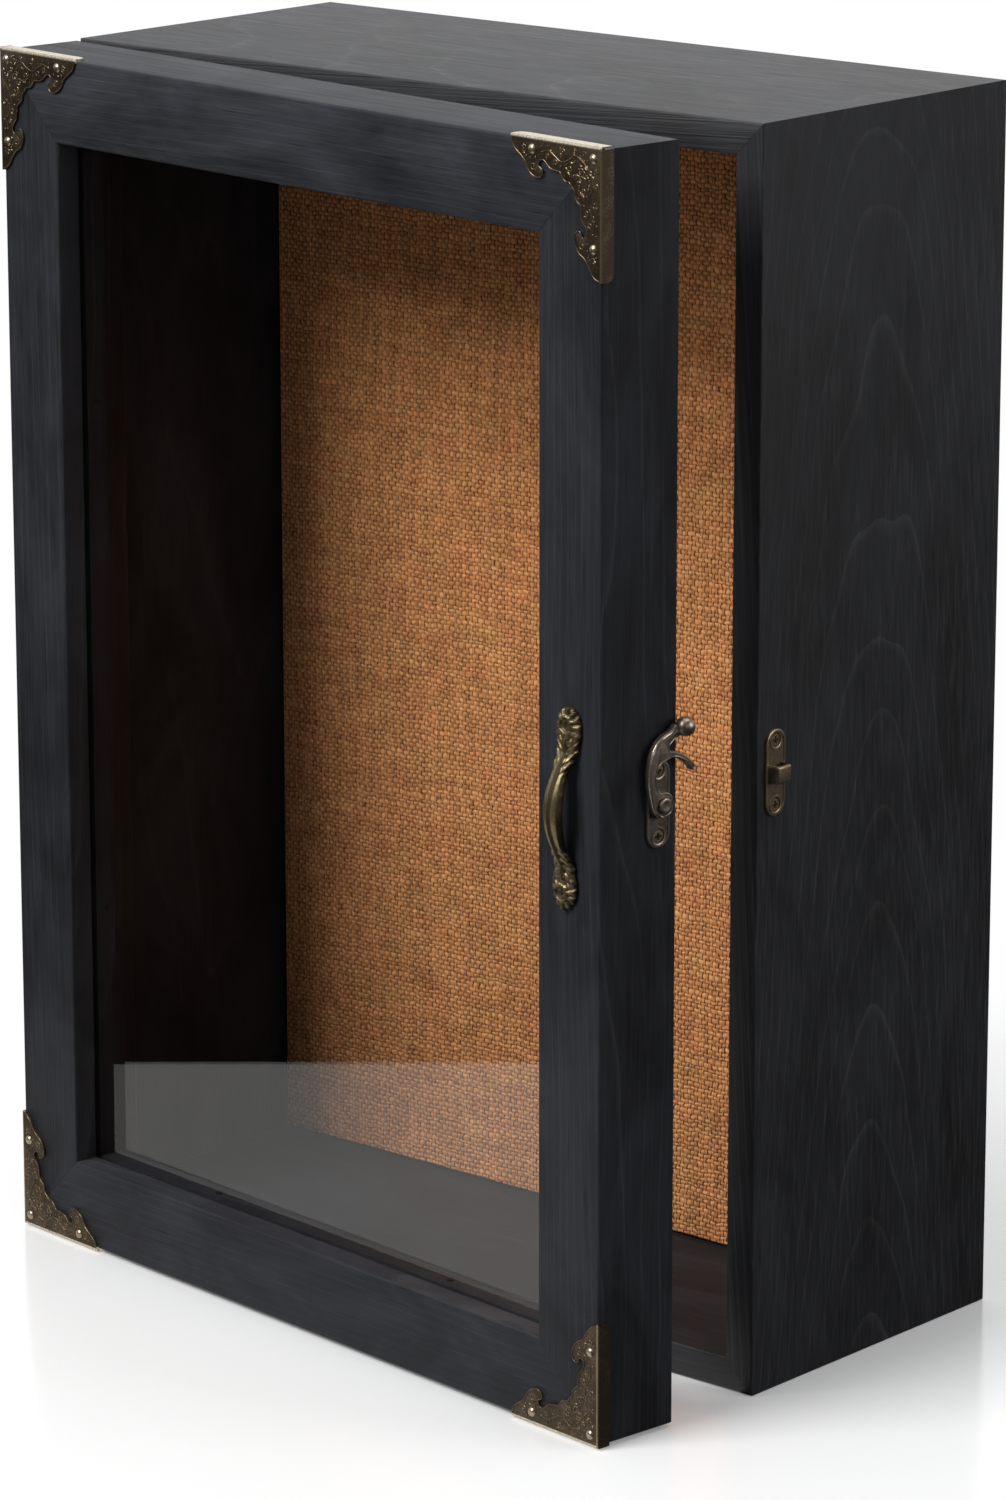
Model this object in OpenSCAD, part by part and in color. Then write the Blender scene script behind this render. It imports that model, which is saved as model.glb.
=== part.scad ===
// Black wooden display case with a hinged glass door, standing upright.
// The origin is the centre of the case's bottom face: +X is right, +Y is back, +Z is up.

/* [Case] */
// Outer width of the case
case_w = 300; // [240:1:400]
// Outer height of the case
case_h = 420; // [320:1:560]
// Depth of the case without its door
case_d = 127; // [100:1:170]
// Thickness of the four case boards
board_t = 11; // [9:0.5:15]

/* [Back panel] */
// Thickness of the back panel
back_t = 4; // [3:0.5:6]
// How far the back panel reaches into each case board
back_rabbet = 6; // [4:0.5:7]
// Distance from the boards' back edges in to the back panel
back_inset = 1; // [0.5:0.5:3]
// Space round the edge of the back panel
back_fit = 0.4; // [0.2:0.1:0.8]
// Number of brads along each edge of the back panel
back_brads = 3; // [2:1:6]

/* [Pin board] */
// Distance from the case's back edge to the face of the linen
linen_setback = 41.5; // [32:0.5:60]
// Thickness of the soft fibre board
core_t = 8; // [5:0.5:12]
// Thickness of the linen
linen_t = 0.9; // [0.5:0.1:1.5]
// Width of the linen turned over behind the fibre board
linen_turn = 20; // [14:1:35]
// Space between the covered board and the case boards
pin_board_fit = 0.4; // [0.2:0.1:0.8]
// Width of the battens behind the pin board
batten_w = 12; // [8:0.5:20]

/* [Door] */
// Thickness of the door, front to back
door_t = 32.7; // [26:0.1:40]
// Width of the door's rails and stiles
stile_w = 29; // [24:0.5:40]
// Gap between the closed door and the case
door_gap = 0.3; // [0.2:0.05:0.8]
// Gap between the door and what the case stands on
door_foot_gap = 1.3; // [1.2:0.1:3]
// How far the door's top lies below the case's top
door_top_drop = 0.7; // [0:0.1:3]
// Angle at which the door stands open
door_ajar = 7.1; // [0:0.1:60]

/* [Glass] */
// Thickness of the glass
glass_t = 2.5; // [2:0.1:4]
// Thickness of the wooden lip ahead of the glass
lip_t = 9; // [5:0.5:12]
// Width of the lip that covers the glass's edge
lip_w = 6; // [4:0.5:9]
// Space round the edge of the glass
glass_fit = 0.5; // [0.3:0.1:1]
// Depth of the beads that hold the glass
bead_d = 8; // [5:0.5:10]
// Length of the brads that hold the beads
bead_brad_l = 12; // [10:0.5:16]

/* [Corner brackets] */
// Length of a bracket's legs
bracket_leg = 41; // [34:1:50]
// Thickness of a bracket's sheet
bracket_t = 0.8; // [0.6:0.1:1.1]
// Depth of a bracket's lip on the door's edges
bracket_lip = 4.2; // [3:0.1:6]
// Distance from the door's edges to the nails
nail_edge = 3.1; // [2.6:0.1:4]
// Distance from a leg's tip to its nail
nail_tip = 10; // [9:0.5:12]

/* [Handle] */
// Length of the handle over both ends
handle_l = 66; // [58:1:80]
// Width of the handle's ends
handle_end_w = 11.2; // [10:0.2:16]
// Width of the handle's grip
grip_w = 8; // [6:0.5:12]
// Thickness of the handle's grip
grip_t = 3.6; // [2.6:0.1:5]
// How far the handle stands out from the door
handle_reach = 10.5; // [9:0.5:20]
// Thickness of the handle's ends
handle_end_t = 2.2; // [1.4:0.1:3]
// Length of the bowed part between its feet
bow_l = 37; // [32:0.5:42]
// How far each foot reaches under the bow
bow_foot_lap = 2; // [1:0.5:4]

/* [Hinges] */
// Height of a hinge
hinge_h = 30; // [24:1:45]
// Distance from a hinge's axis to the leaf's far edge
leaf_w = 10.5; // [9:0.5:13]
// Thickness of a hinge's leaves
leaf_t = 0.9; // [0.7:0.05:1.1]
// Outer radius of a hinge's knuckles
knuckle_r = 1.5; // [1.4:0.05:2]
// Radius of a hinge's pin
hinge_pin_r = 0.8; // [0.6:0.05:0.9]
// Distance from a hinge's ends to its screws
hinge_screw_end = 6; // [5:0.5:8]
// Height of a hinge's middle from the nearer end of the case
hinge_from_end = 70; // [60:1:110]

/* [Latch and catch] */
// Distance from the parting line to the middle of each plate
plate_setback = 8.5; // [7.5:0.1:10]
// Length of the latch plate and the catch plate
plate_l = 28.8; // [26:0.2:36]
// Width of the latch plate and the catch plate
plate_w = 9.6; // [8.6:0.2:11]
// Thickness of the latch plate and the catch plate
plate_t = 1; // [0.8:0.1:1.4]
// Distance from a plate's ends to its screws
plate_screw_end = 3.7; // [3.3:0.1:4.5]
// Thickness of the latch arm
arm_t = 2.2; // [1.8:0.1:2.6]
// Width of the arm's tongue
tongue_w = 2; // [1.6:0.1:2.4]
// Angle of the tongue's tip above the level of the pivot, at rest
tongue_tip_angle = 36.7; // [32:0.1:42]
// Radius of the ball on the arm
ball_r = 3.8; // [3.2:0.1:4]
// Radius of the latch rivet
rivet_r = 1.2; // [1:0.1:1.5]
// How far the latch rivet reaches into the door
rivet_depth = 3; // [2:0.5:6]
// Width of the catch's loop
loop_w = 6.8; // [6.4:0.1:8]
// Height of the catch's loop
loop_h = 5.9; // [4.6:0.1:6.4]
// Thickness of the loop's metal
loop_t = 0.9; // [0.7:0.05:1]

/* [Fasteners] */
// Radius of a wood screw's shank
screw_r = 1; // [0.8:0.05:1.2]
// Radius of a countersunk screw head
screw_head_r = 2.1; // [1.8:0.1:2.4]
// Length of a wood screw
screw_l = 9; // [7:0.5:9.5]
// Radius of a handle screw's shank
handle_screw_r = 1.3; // [1:0.1:1.6]
// Length of a handle screw
handle_screw_l = 16; // [12:1:22]
// Radius of a bracket nail's shank
nail_r = 0.7; // [0.5:0.05:0.9]
// Radius of a bracket nail's head
nail_head_r = 1.6; // [1.3:0.1:2]
// Length of a bracket nail's shank
nail_l = 9; // [7:0.5:12]
// Radius of a brad
brad_r = 0.6; // [0.4:0.05:0.8]
// Length of a back panel brad
back_brad_l = 16; // [12:1:22]

/* [Fits] */
// Radial clearance of a turning pin in its hole
turning_fit = 0.05; // [0.02:0.01:0.09]
// Radial clearance of a fixed fastener in its hole
fastener_fit = 0.04; // [0.02:0.01:0.08]
// Clearance between pieces that pass each other
passing_gap = 0.3; // [0.25:0.05:0.4]

/* [Hidden] */
$fn = 64;

eps = 0.01;
wood = [0.15, 0.16, 0.18];
dark_wood = [0.1, 0.1, 0.11];
bronze = [0.3, 0.25, 0.18];
steel = [0.55, 0.55, 0.53];

case_front = -case_d / 2;
case_back = case_d / 2;
mid_h = case_h / 2;
door_back = case_front - door_gap;
door_front = door_back - door_t;
door_bottom = door_foot_gap;
door_top = case_h - door_top_drop;
door_h = door_top - door_bottom;
door_mid = (door_top + door_bottom) / 2;

back_panel_front = case_back - back_inset - back_t;
linen_face = case_back - linen_setback;
core_front = linen_face + linen_t;
core_back = core_front + core_t;
linen_back = core_back + linen_t;
inner_w = case_w - 2 * board_t;
inner_h = case_h - 2 * board_t;
covered_w = inner_w - 2 * pin_board_fit;
covered_h = inner_h - 2 * pin_board_fit;

glass_front = door_front + lip_t;
glass_back = glass_front + glass_t;
window_w = case_w - 2 * stile_w;
window_h = door_h - 2 * stile_w;
glass_room_w = window_w + 2 * lip_w;
glass_room_h = window_h + 2 * lip_w;

hinge_offset = knuckle_r + passing_gap;
hinge_x = -case_w / 2 - hinge_offset;
hinge_y = case_front - door_gap / 2;
hinge_heights = [hinge_from_end, case_h - hinge_from_end];
knuckle_l = (hinge_h - 2 * passing_gap) / 3;
leaf_near = knuckle_r + passing_gap;
hinge_screw_x = (leaf_near + leaf_w) / 2;
hinge_screw_y = hinge_h / 2 - hinge_screw_end;

latch_reach = 2 * plate_setback + door_gap;
pivot_y = door_back - plate_setback;
catch_y = case_front + plate_setback;
plate_screw_from_mid = plate_l / 2 - plate_screw_end;
arm_base = plate_t + passing_gap;
loop_hole_w = loop_w - 2 * loop_t;
loop_hole_d = passing_gap + arm_t + 1.3 * passing_gap;
tongue_inner_r = norm([latch_reach - loop_hole_w / 2, loop_h / 2]) + passing_gap;
tongue_outer_r = tongue_inner_r + tongue_w;
tongue_root_angle = 80;
ball_at = [0.526, 1.405] * latch_reach;
ball_rise = ball_r + 0.6;
rivet_head_h = 1.1;
rivet_head_r = 2.1 * rivet_r;
eye_r = 0.249 * latch_reach;
crescent_at = [0.38, 0.555] * latch_reach;
crescent_r = 0.81 * latch_reach;
hollow_at = [0.474, 0.462] * latch_reach;
hollow_r = 0.7 * latch_reach;

grip_mid_d = handle_reach - grip_t / 2;
bow_foot_d = handle_end_t - 0.4;
bow_rise = grip_mid_d - bow_foot_d;
bow_r = (pow(bow_l / 2, 2) + pow(bow_rise, 2)) / (2 * bow_rise);
bow_angle = 2 * asin(bow_l / 2 / bow_r);
handle_screw_from_mid = (handle_l - handle_end_w) / 2;
handle_x = (case_w - stile_w) / 2;
bow_foot_start = bow_l / 2 - bow_foot_lap;
bow_foot_l = handle_screw_from_mid - bow_foot_start;
bow_foot_w = 0.8 * grip_w;
// Leaf lobes on each side of a foot: place along the foot, place across, radius
foot_lobes = [for (lobe = [[0.74, 0.3, 0.155], [1, 0.232, 0.143]])
  [lobe[0] * bow_foot_l, lobe[1] * handle_end_w, lobe[2] * handle_end_w]];

// Outline of one bracket leg from its tip to the diagonal
bracket_edge = bracket_leg * [
  [1, 0], [0.951, 0.063], [0.898, 0.112], [0.839, 0.18], [0.78, 0.24], [0.68, 0.21],
  [0.672, 0.15], [0.644, 0.137], [0.605, 0.154], [0.544, 0.2], [0.454, 0.22],
  [0.405, 0.273], [0.316, 0.316]
];
lobe_at = [0.729, 0.2] * bracket_leg;
lobe_r = 0.07 * bracket_leg;
curl_at = [0.688, 0.236] * bracket_leg;
curl_r = 0.038 * bracket_leg;

// Stands a shape drawn in X and Y against a face that looks forward, back, right or left
module facing_front(at) {
  translate(at) rotate([90, 0, 0]) children();
}
module facing_back(at) {
  translate(at) rotate([90, 0, 180]) children();
}
module facing_right(at) {
  translate(at) rotate([90, 0, 90]) children();
}
module facing_left(at) {
  translate(at) rotate([90, 0, -90]) children();
}

// Turns the closed door to where it stands
module in_door() {
  translate([hinge_x, hinge_y, 0]) rotate([0, 0, -door_ajar]) translate([-hinge_x, -hinge_y, 0]) children();
}

module centred_box(size, mid) {
  translate(mid) cube(size, center = true);
}

module dome(r, h) {
  cap_r = (r * r + h * h) / (2 * h);
  intersection() {
    translate([0, 0, h - cap_r]) sphere(cap_r);
    cylinder(r = r + eps, h = h + eps);
  }
}

// Fasteners stand on the origin, head up
module domed_nail(r, l, head_r, head_h) {
  translate([0, 0, -l]) cylinder(r = r, h = l + head_h / 2);
  dome(head_r, head_h);
}

module flat_brad(r, l) {
  translate([0, 0, -l]) cylinder(r = r, h = l + r / 2);
  cylinder(r = 1.9 * r, h = 0.7 * r);
}

module countersunk_screw() {
  translate([0, 0, -screw_l]) cylinder(r = screw_r, h = screw_l);
  translate([0, 0, screw_r - screw_head_r]) cylinder(r1 = screw_r, r2 = screw_head_r, h = screw_head_r - screw_r);
}

module countersunk_hole() {
  drop = screw_head_r - screw_r;
  translate([0, 0, -screw_l - passing_gap]) cylinder(r = screw_r + fastener_fit, h = screw_l + 1);
  translate([0, 0, -drop]) cylinder(r1 = screw_r + fastener_fit, r2 = screw_head_r + fastener_fit, h = drop);
  cylinder(r = screw_head_r + fastener_fit, h = plate_t);
}

module straight_hole(r, l) {
  translate([0, 0, -l - passing_gap]) cylinder(r = r + fastener_fit, h = l + passing_gap + 1);
}

// Brad places along the four edges of the back panel
back_brad_x = inner_w / 2 + back_rabbet / 2 - back_fit;
back_brad_z = inner_h / 2 + back_rabbet / 2 - back_fit;
function spread(half, count) = [for (i = [0:count - 1]) half * (2 * (i + 0.5) / count - 1)];
back_brad_places = concat(
  [for (x = spread(inner_w / 2, back_brads), s = [-1, 1]) [x, s * back_brad_z]],
  [for (z = spread(inner_h / 2, back_brads), s = [-1, 1]) [s * back_brad_x, z]]
);

module at_back_brads() {
  for (p = back_brad_places) facing_back([p[0], back_panel_front + back_t, mid_h + p[1]]) children();
}

module at_catch_screws() {
  for (s = [-1, 1]) facing_right([case_w / 2 + plate_t, catch_y, mid_h + s * plate_screw_from_mid]) children();
}

module at_latch_screws() {
  for (s = [-1, 1]) facing_right([case_w / 2 + plate_t, pivot_y, mid_h + s * plate_screw_from_mid]) children();
}

// side is 1 for the door's leaf and -1 for the case's leaf
module at_hinge_screws(side) {
  for (z = hinge_heights, s = [-1, 1])
    facing_left([-case_w / 2 - leaf_t, hinge_y - side * hinge_screw_x, z + s * hinge_screw_y]) children();
}

module at_handle_screws() {
  for (s = [-1, 1])
    facing_front([handle_x, door_front - handle_end_t, mid_h + s * handle_screw_from_mid]) children();
}

module at_bracket_corner(right, top) {
  translate([(right ? 1 : -1) * case_w / 2, door_front, top ? door_top : door_bottom])
    mirror([right ? 1 : 0, 0, 0]) mirror([0, 0, top ? 1 : 0]) rotate([90, 0, 0]) children();
}

nail_places = [
  [nail_edge, nail_edge], [bracket_leg - nail_tip, nail_edge], [nail_edge, bracket_leg - nail_tip]
];

module at_bracket_nails(right, top) {
  at_bracket_corner(right, top) for (p = nail_places) translate([p[0], p[1], bracket_t]) children();
}

module at_all_bracket_nails() {
  for (right = [false, true], top = [false, true]) at_bracket_nails(right, top) children();
}

// Two brads in each bead, driven outwards into the frame
module at_bead_brads() {
  y = glass_back + bead_d / 2;
  for (s = [-1, 1], t = [-1, 1]) {
    translate([s * window_w / 2, y, door_mid + t * window_h / 4]) rotate([0, -s * 90, 0]) children();
    translate([t * window_w / 4, y, door_mid + s * window_h / 2]) rotate([90 + s * 90, 0, 0]) children();
  }
}

// A board with mitred ends, its outer face down, its middle over the origin
module mitred_board(length, t, depth) {
  rotate([90, 0, 0]) linear_extrude(depth, center = true)
    polygon([[-length / 2, 0], [length / 2, 0], [length / 2 - t, t], [t - length / 2, t]]);
}

// The four boards of a frame, placed by the side that they make
module frame_side(side, w, h, t, depth, mid) {
  length = side == "top" || side == "bottom" ? w : h;
  angle = side == "bottom" ? 0 : side == "left" ? 90 : side == "top" ? 180 : 270;
  reach = (side == "top" || side == "bottom" ? h : w) / 2;
  translate(mid) rotate([0, angle, 0]) translate([0, 0, -reach]) mitred_board(length, t, depth);
}

module case_board(side) {
  color(wood) difference() {
    frame_side(side, case_w, case_h, board_t, case_d, [0, 0, mid_h]);
    centred_box(
      [inner_w + 2 * back_rabbet, 2 * (back_inset + back_t), inner_h + 2 * back_rabbet],
      [0, case_back, mid_h]
    );
    at_back_brads() straight_hole(brad_r, back_brad_l);
    at_catch_screws() countersunk_hole();
    at_hinge_screws(-1) countersunk_hole();
  }
}

module case_top() {
  case_board("top");
}
module case_bottom() {
  case_board("bottom");
}
module case_left_side() {
  case_board("left");
}
module case_right_side() {
  case_board("right");
}

module back_panel() {
  trim = back_rabbet - back_fit;
  color(dark_wood) difference() {
    centred_box([inner_w + 2 * trim, back_t, inner_h + 2 * trim], [0, back_panel_front + back_t / 2, mid_h]);
    at_back_brads() straight_hole(brad_r, back_brad_l);
  }
}

module back_panel_brads() {
  color(steel) at_back_brads() flat_brad(brad_r, back_brad_l);
}

module pin_board_core() {
  color([0.6, 0.5, 0.38]) centred_box(
    [covered_w - 2 * linen_t, core_t, covered_h - 2 * linen_t],
    [0, core_front + core_t / 2, mid_h]
  );
}

module pin_board_linen() {
  thick = linen_back - linen_face;
  color([0.62, 0.42, 0.24]) difference() {
    centred_box([covered_w, thick, covered_h], [0, linen_face + thick / 2, mid_h]);
    centred_box(
      [covered_w - 2 * linen_t, core_t, covered_h - 2 * linen_t],
      [0, core_front + core_t / 2, mid_h]
    );
    centred_box(
      [covered_w - 2 * linen_turn, 4 * linen_t, covered_h - 2 * linen_turn],
      [0, linen_back, mid_h]
    );
  }
}

batten_d = back_panel_front - linen_back;
batten_y = (back_panel_front + linen_back) / 2;

module batten(size, x, z) {
  color([0.45, 0.34, 0.22]) centred_box(size, [x, batten_y, mid_h + z]);
}

module batten_top() {
  batten([inner_w, batten_d, batten_w], 0, (inner_h - batten_w) / 2);
}
module batten_bottom() {
  batten([inner_w, batten_d, batten_w], 0, (batten_w - inner_h) / 2);
}
module batten_left() {
  batten([batten_w, batten_d, inner_h - 2 * batten_w], (batten_w - inner_w) / 2, 0);
}
module batten_right() {
  batten([batten_w, batten_d, inner_h - 2 * batten_w], (inner_w - batten_w) / 2, 0);
}

module door_board(side) {
  color(wood) in_door() difference() {
    frame_side(side, case_w, door_h, stile_w, door_t, [0, door_front + door_t / 2, door_mid]);
    centred_box([glass_room_w, 2 * (door_t - lip_t), glass_room_h], [0, door_back, door_mid]);
    at_all_bracket_nails() straight_hole(nail_r, nail_l);
    at_handle_screws() straight_hole(handle_screw_r, handle_screw_l);
    at_hinge_screws(1) countersunk_hole();
    at_latch_screws() countersunk_hole();
    at_rivet() straight_hole(rivet_r, rivet_l());
    at_bead_brads() translate([0, 0, 1]) straight_hole(brad_r, bead_brad_l);
  }
}

module door_top_rail() {
  door_board("top");
}
module door_bottom_rail() {
  door_board("bottom");
}
module door_left_stile() {
  door_board("left");
}
module door_right_stile() {
  door_board("right");
}

module glass_pane() {
  color([0.8, 0.88, 0.88, 0.35]) in_door() centred_box(
    [glass_room_w - 2 * glass_fit, glass_t, glass_room_h - 2 * glass_fit],
    [0, glass_front + glass_t / 2, door_mid]
  );
}

module glass_bead(side) {
  color(dark_wood) in_door() difference() {
    frame_side(side, glass_room_w, glass_room_h, lip_w, bead_d, [0, glass_back + bead_d / 2, door_mid]);
    at_bead_brads() translate([0, 0, 1]) straight_hole(brad_r, bead_brad_l);
  }
}

module glass_bead_top() {
  glass_bead("top");
}
module glass_bead_bottom() {
  glass_bead("bottom");
}
module glass_bead_left() {
  glass_bead("left");
}
module glass_bead_right() {
  glass_bead("right");
}

module glass_bead_brads() {
  color(steel) in_door() at_bead_brads() flat_brad(brad_r, bead_brad_l - 1);
}

module bracket_outline() {
  other = [for (i = [len(bracket_edge) - 2:-1:0]) [bracket_edge[i][1], bracket_edge[i][0]]];
  polygon(concat([[0, 0]], bracket_edge, other));
  for (flip = [false, true]) {
    translate(flip ? [lobe_at[1], lobe_at[0]] : lobe_at) circle(lobe_r);
    translate(flip ? [curl_at[1], curl_at[0]] : curl_at) circle(curl_r);
  }
}

module bracket(right, top) {
  color(bronze) in_door() at_bracket_corner(right, top) difference() {
    union() {
      linear_extrude(bracket_t) bracket_outline();
      translate([-bracket_t, -bracket_t, -bracket_lip])
        cube([bracket_t, bracket_leg + bracket_t, bracket_lip + bracket_t]);
      translate([-bracket_t, -bracket_t, -bracket_lip])
        cube([bracket_leg + bracket_t, bracket_t, bracket_lip + bracket_t]);
    }
    for (p = nail_places) translate([p[0], p[1], -1]) cylinder(r = nail_r + fastener_fit, h = 1 + 2 * bracket_t);
  }
}

module bracket_top_left() {
  bracket(false, true);
}
module bracket_top_right() {
  bracket(true, true);
}
module bracket_bottom_left() {
  bracket(false, false);
}
module bracket_bottom_right() {
  bracket(true, false);
}

module bracket_nails() {
  color(steel) in_door() at_all_bracket_nails() domed_nail(nail_r, nail_l, nail_head_r, nail_head_r / 2);
}

// A round end with its screw, its foot towards the grip and two leaf lobes on each side
module handle_end() {
  translate([0, handle_screw_from_mid, 0]) {
    cylinder(d = handle_end_w, h = handle_end_t);
    translate([-bow_foot_w / 2, -bow_foot_l, 0]) cube([bow_foot_w, bow_foot_l, handle_end_t]);
    for (lobe = foot_lobes, s = [-1, 1]) translate([s * lobe[1], -lobe[0], 0]) cylinder(r = lobe[2], h = handle_end_t);
  }
}

// The grip is a bowed bar between the two ends
module handle() {
  color(bronze) in_door() difference() {
    facing_front([handle_x, door_front, mid_h]) {
      for (s = [0, 1]) mirror([0, s, 0]) handle_end();
      translate([0, 0, grip_mid_d - bow_r]) rotate([90, 0, 90]) rotate([0, 0, 90 - bow_angle / 2])
        rotate_extrude(angle = bow_angle) translate([bow_r, 0]) grip_section();
    }
    at_handle_screws() translate([0, 0, -2 * handle_end_t])
      cylinder(r = handle_screw_r + fastener_fit, h = 3 * handle_end_t);
  }
}

module grip_section() {
  flat_w = grip_w - grip_t;
  square([grip_t, flat_w], center = true);
  for (s = [-1, 1]) translate([0, s * flat_w / 2]) circle(d = grip_t);
}

module handle_screws() {
  color(bronze) in_door() at_handle_screws() domed_nail(handle_screw_r, handle_screw_l, 1.7 * handle_screw_r, 1);
}

// Drawn with the wood's face at Z 0, the pin along Y and the leaf towards +X
module hinge_leaf(knuckles) {
  difference() {
    union() {
      translate([leaf_near, -hinge_h / 2, 0]) cube([leaf_w - leaf_near, hinge_h, leaf_t]);
      for (k = knuckles) translate([0, k * (knuckle_l + passing_gap) - knuckle_l / 2, 0]) {
        cube([leaf_near + eps, knuckle_l, leaf_t]);
        translate([0, 0, hinge_offset]) rotate([-90, 0, 0]) cylinder(r = knuckle_r, h = knuckle_l);
      }
    }
    translate([0, -hinge_h, hinge_offset]) rotate([-90, 0, 0])
      cylinder(r = hinge_pin_r + turning_fit, h = 2 * hinge_h);
    for (s = [-1, 1]) translate([hinge_screw_x, s * hinge_screw_y, leaf_t]) countersunk_hole();
  }
}

module door_leaf(z) {
  color(bronze) in_door() facing_left([-case_w / 2, hinge_y, z]) hinge_leaf([0]);
}

module case_leaf(z) {
  color(bronze) facing_left([-case_w / 2, hinge_y, z]) mirror([1, 0, 0]) hinge_leaf([-1, 1]);
}

module hinge_pin(z) {
  head_h = 0.8;
  color(steel) translate([hinge_x, hinge_y, z]) {
    cylinder(r = hinge_pin_r, h = hinge_h + head_h, center = true);
    for (s = [-1, 1]) translate([0, 0, s * (hinge_h + head_h) / 2]) cylinder(r = knuckle_r - 0.2, h = head_h, center = true);
  }
}

module upper_hinge_door_leaf() {
  door_leaf(hinge_heights[1]);
}
module upper_hinge_case_leaf() {
  case_leaf(hinge_heights[1]);
}
module upper_hinge_pin() {
  hinge_pin(hinge_heights[1]);
}
module lower_hinge_door_leaf() {
  door_leaf(hinge_heights[0]);
}
module lower_hinge_case_leaf() {
  case_leaf(hinge_heights[0]);
}
module lower_hinge_pin() {
  hinge_pin(hinge_heights[0]);
}

module hinge_door_screws() {
  color(steel) in_door() at_hinge_screws(1) countersunk_screw();
}
module hinge_case_screws() {
  color(steel) at_hinge_screws(-1) countersunk_screw();
}

// A plate with round ends, standing on its middle
module round_ended_plate(l, w, t) {
  linear_extrude(t) {
    square([w, l - w], center = true);
    for (s = [-1, 1]) translate([0, s * (l - w) / 2]) circle(d = w);
  }
}

module at_rivet() {
  facing_right([case_w / 2 + arm_base + arm_t, pivot_y, mid_h]) children();
}

function rivet_l() = arm_base + arm_t + rivet_depth;

module latch_plate() {
  color(bronze) in_door() difference() {
    facing_right([case_w / 2, pivot_y, mid_h]) round_ended_plate(plate_l, plate_w, plate_t);
    at_latch_screws() countersunk_hole();
    at_rivet() straight_hole(rivet_r, rivet_l());
  }
}

module latch_plate_screws() {
  color(steel) in_door() at_latch_screws() countersunk_screw();
}

module latch_rivet() {
  color(bronze) in_door() at_rivet() {
    translate([0, 0, -rivet_l()]) cylinder(r = rivet_r, h = rivet_l() + passing_gap);
    translate([0, 0, 0.1]) dome(rivet_head_r, rivet_head_h);
  }
}

// Flat outline of the arm round its pivot: a crescent, the tongue and the neck of the ball
module arm_outline() {
  reach = latch_reach;
  wedge = 2 * reach;
  circle(eye_r);
  intersection() {
    difference() {
      translate(crescent_at) circle(crescent_r);
      translate(hollow_at) circle(hollow_r);
    }
    polygon([
      [-0.58, -0.35] * reach, [0, -0.35] * reach, [0, 0], [0.32, 1] * reach,
      [0.42, 1.6] * reach, [-0.58, 1.6] * reach
    ]);
  }
  intersection() {
    difference() {
      circle(tongue_outer_r);
      circle(tongue_inner_r);
    }
    polygon([
      [0, 0], wedge * [cos(tongue_tip_angle), sin(tongue_tip_angle)],
      wedge * [cos(tongue_root_angle), sin(tongue_root_angle)]
    ]);
  }
  polygon([
    [-0.2, 0.64] * reach, [-0.06, 0.8] * reach,
    tongue_inner_r * [cos(74), sin(74)], tongue_outer_r * [cos(76), sin(76)],
    [0.1, 1.08] * reach, [-0.1, 1.15] * reach
  ]);
  polygon([[0.12, 1.16] * reach, ball_at + [0.06, -0.1] * reach, ball_at + [-0.08, 0.06] * reach, [0.08, 1.31] * reach]);
}

module latch_arm() {
  color(bronze) in_door() facing_right([case_w / 2, pivot_y, mid_h]) difference() {
    union() {
      translate([0, 0, arm_base]) linear_extrude(arm_t) arm_outline();
      translate([ball_at[0], ball_at[1], ball_rise]) sphere(ball_r);
    }
    cylinder(r = rivet_r + turning_fit, h = 2 * (arm_base + arm_t));
  }
}

// The tongue drops through the loop from above
module catch_plate() {
  loop_d = loop_hole_d + loop_t;
  color(bronze) difference() {
    facing_right([case_w / 2, catch_y, mid_h]) {
      round_ended_plate(plate_l, plate_w, plate_t);
      difference() {
        translate([-loop_w / 2, -loop_h / 2, 0]) cube([loop_w, loop_h, plate_t + loop_d]);
        translate([-loop_hole_w / 2, -loop_h, plate_t]) cube([loop_hole_w, 2 * loop_h, loop_hole_d]);
      }
    }
    at_catch_screws() countersunk_hole();
  }
}

module catch_screws() {
  color(steel) at_catch_screws() countersunk_screw();
}

case_top();
case_bottom();
case_left_side();
case_right_side();
back_panel();
back_panel_brads();
pin_board_core();
pin_board_linen();
batten_top();
batten_bottom();
batten_left();
batten_right();
door_top_rail();
door_bottom_rail();
door_left_stile();
door_right_stile();
glass_pane();
glass_bead_top();
glass_bead_bottom();
glass_bead_left();
glass_bead_right();
glass_bead_brads();
bracket_top_left();
bracket_top_right();
bracket_bottom_left();
bracket_bottom_right();
bracket_nails();
handle();
handle_screws();
upper_hinge_door_leaf();
upper_hinge_case_leaf();
upper_hinge_pin();
lower_hinge_door_leaf();
lower_hinge_case_leaf();
lower_hinge_pin();
hinge_door_screws();
hinge_case_screws();
latch_plate();
latch_plate_screws();
latch_arm();
latch_rivet();
catch_plate();
catch_screws();
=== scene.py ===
import math
import random

import bmesh
import bpy
from mathutils import Matrix, Vector


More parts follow.
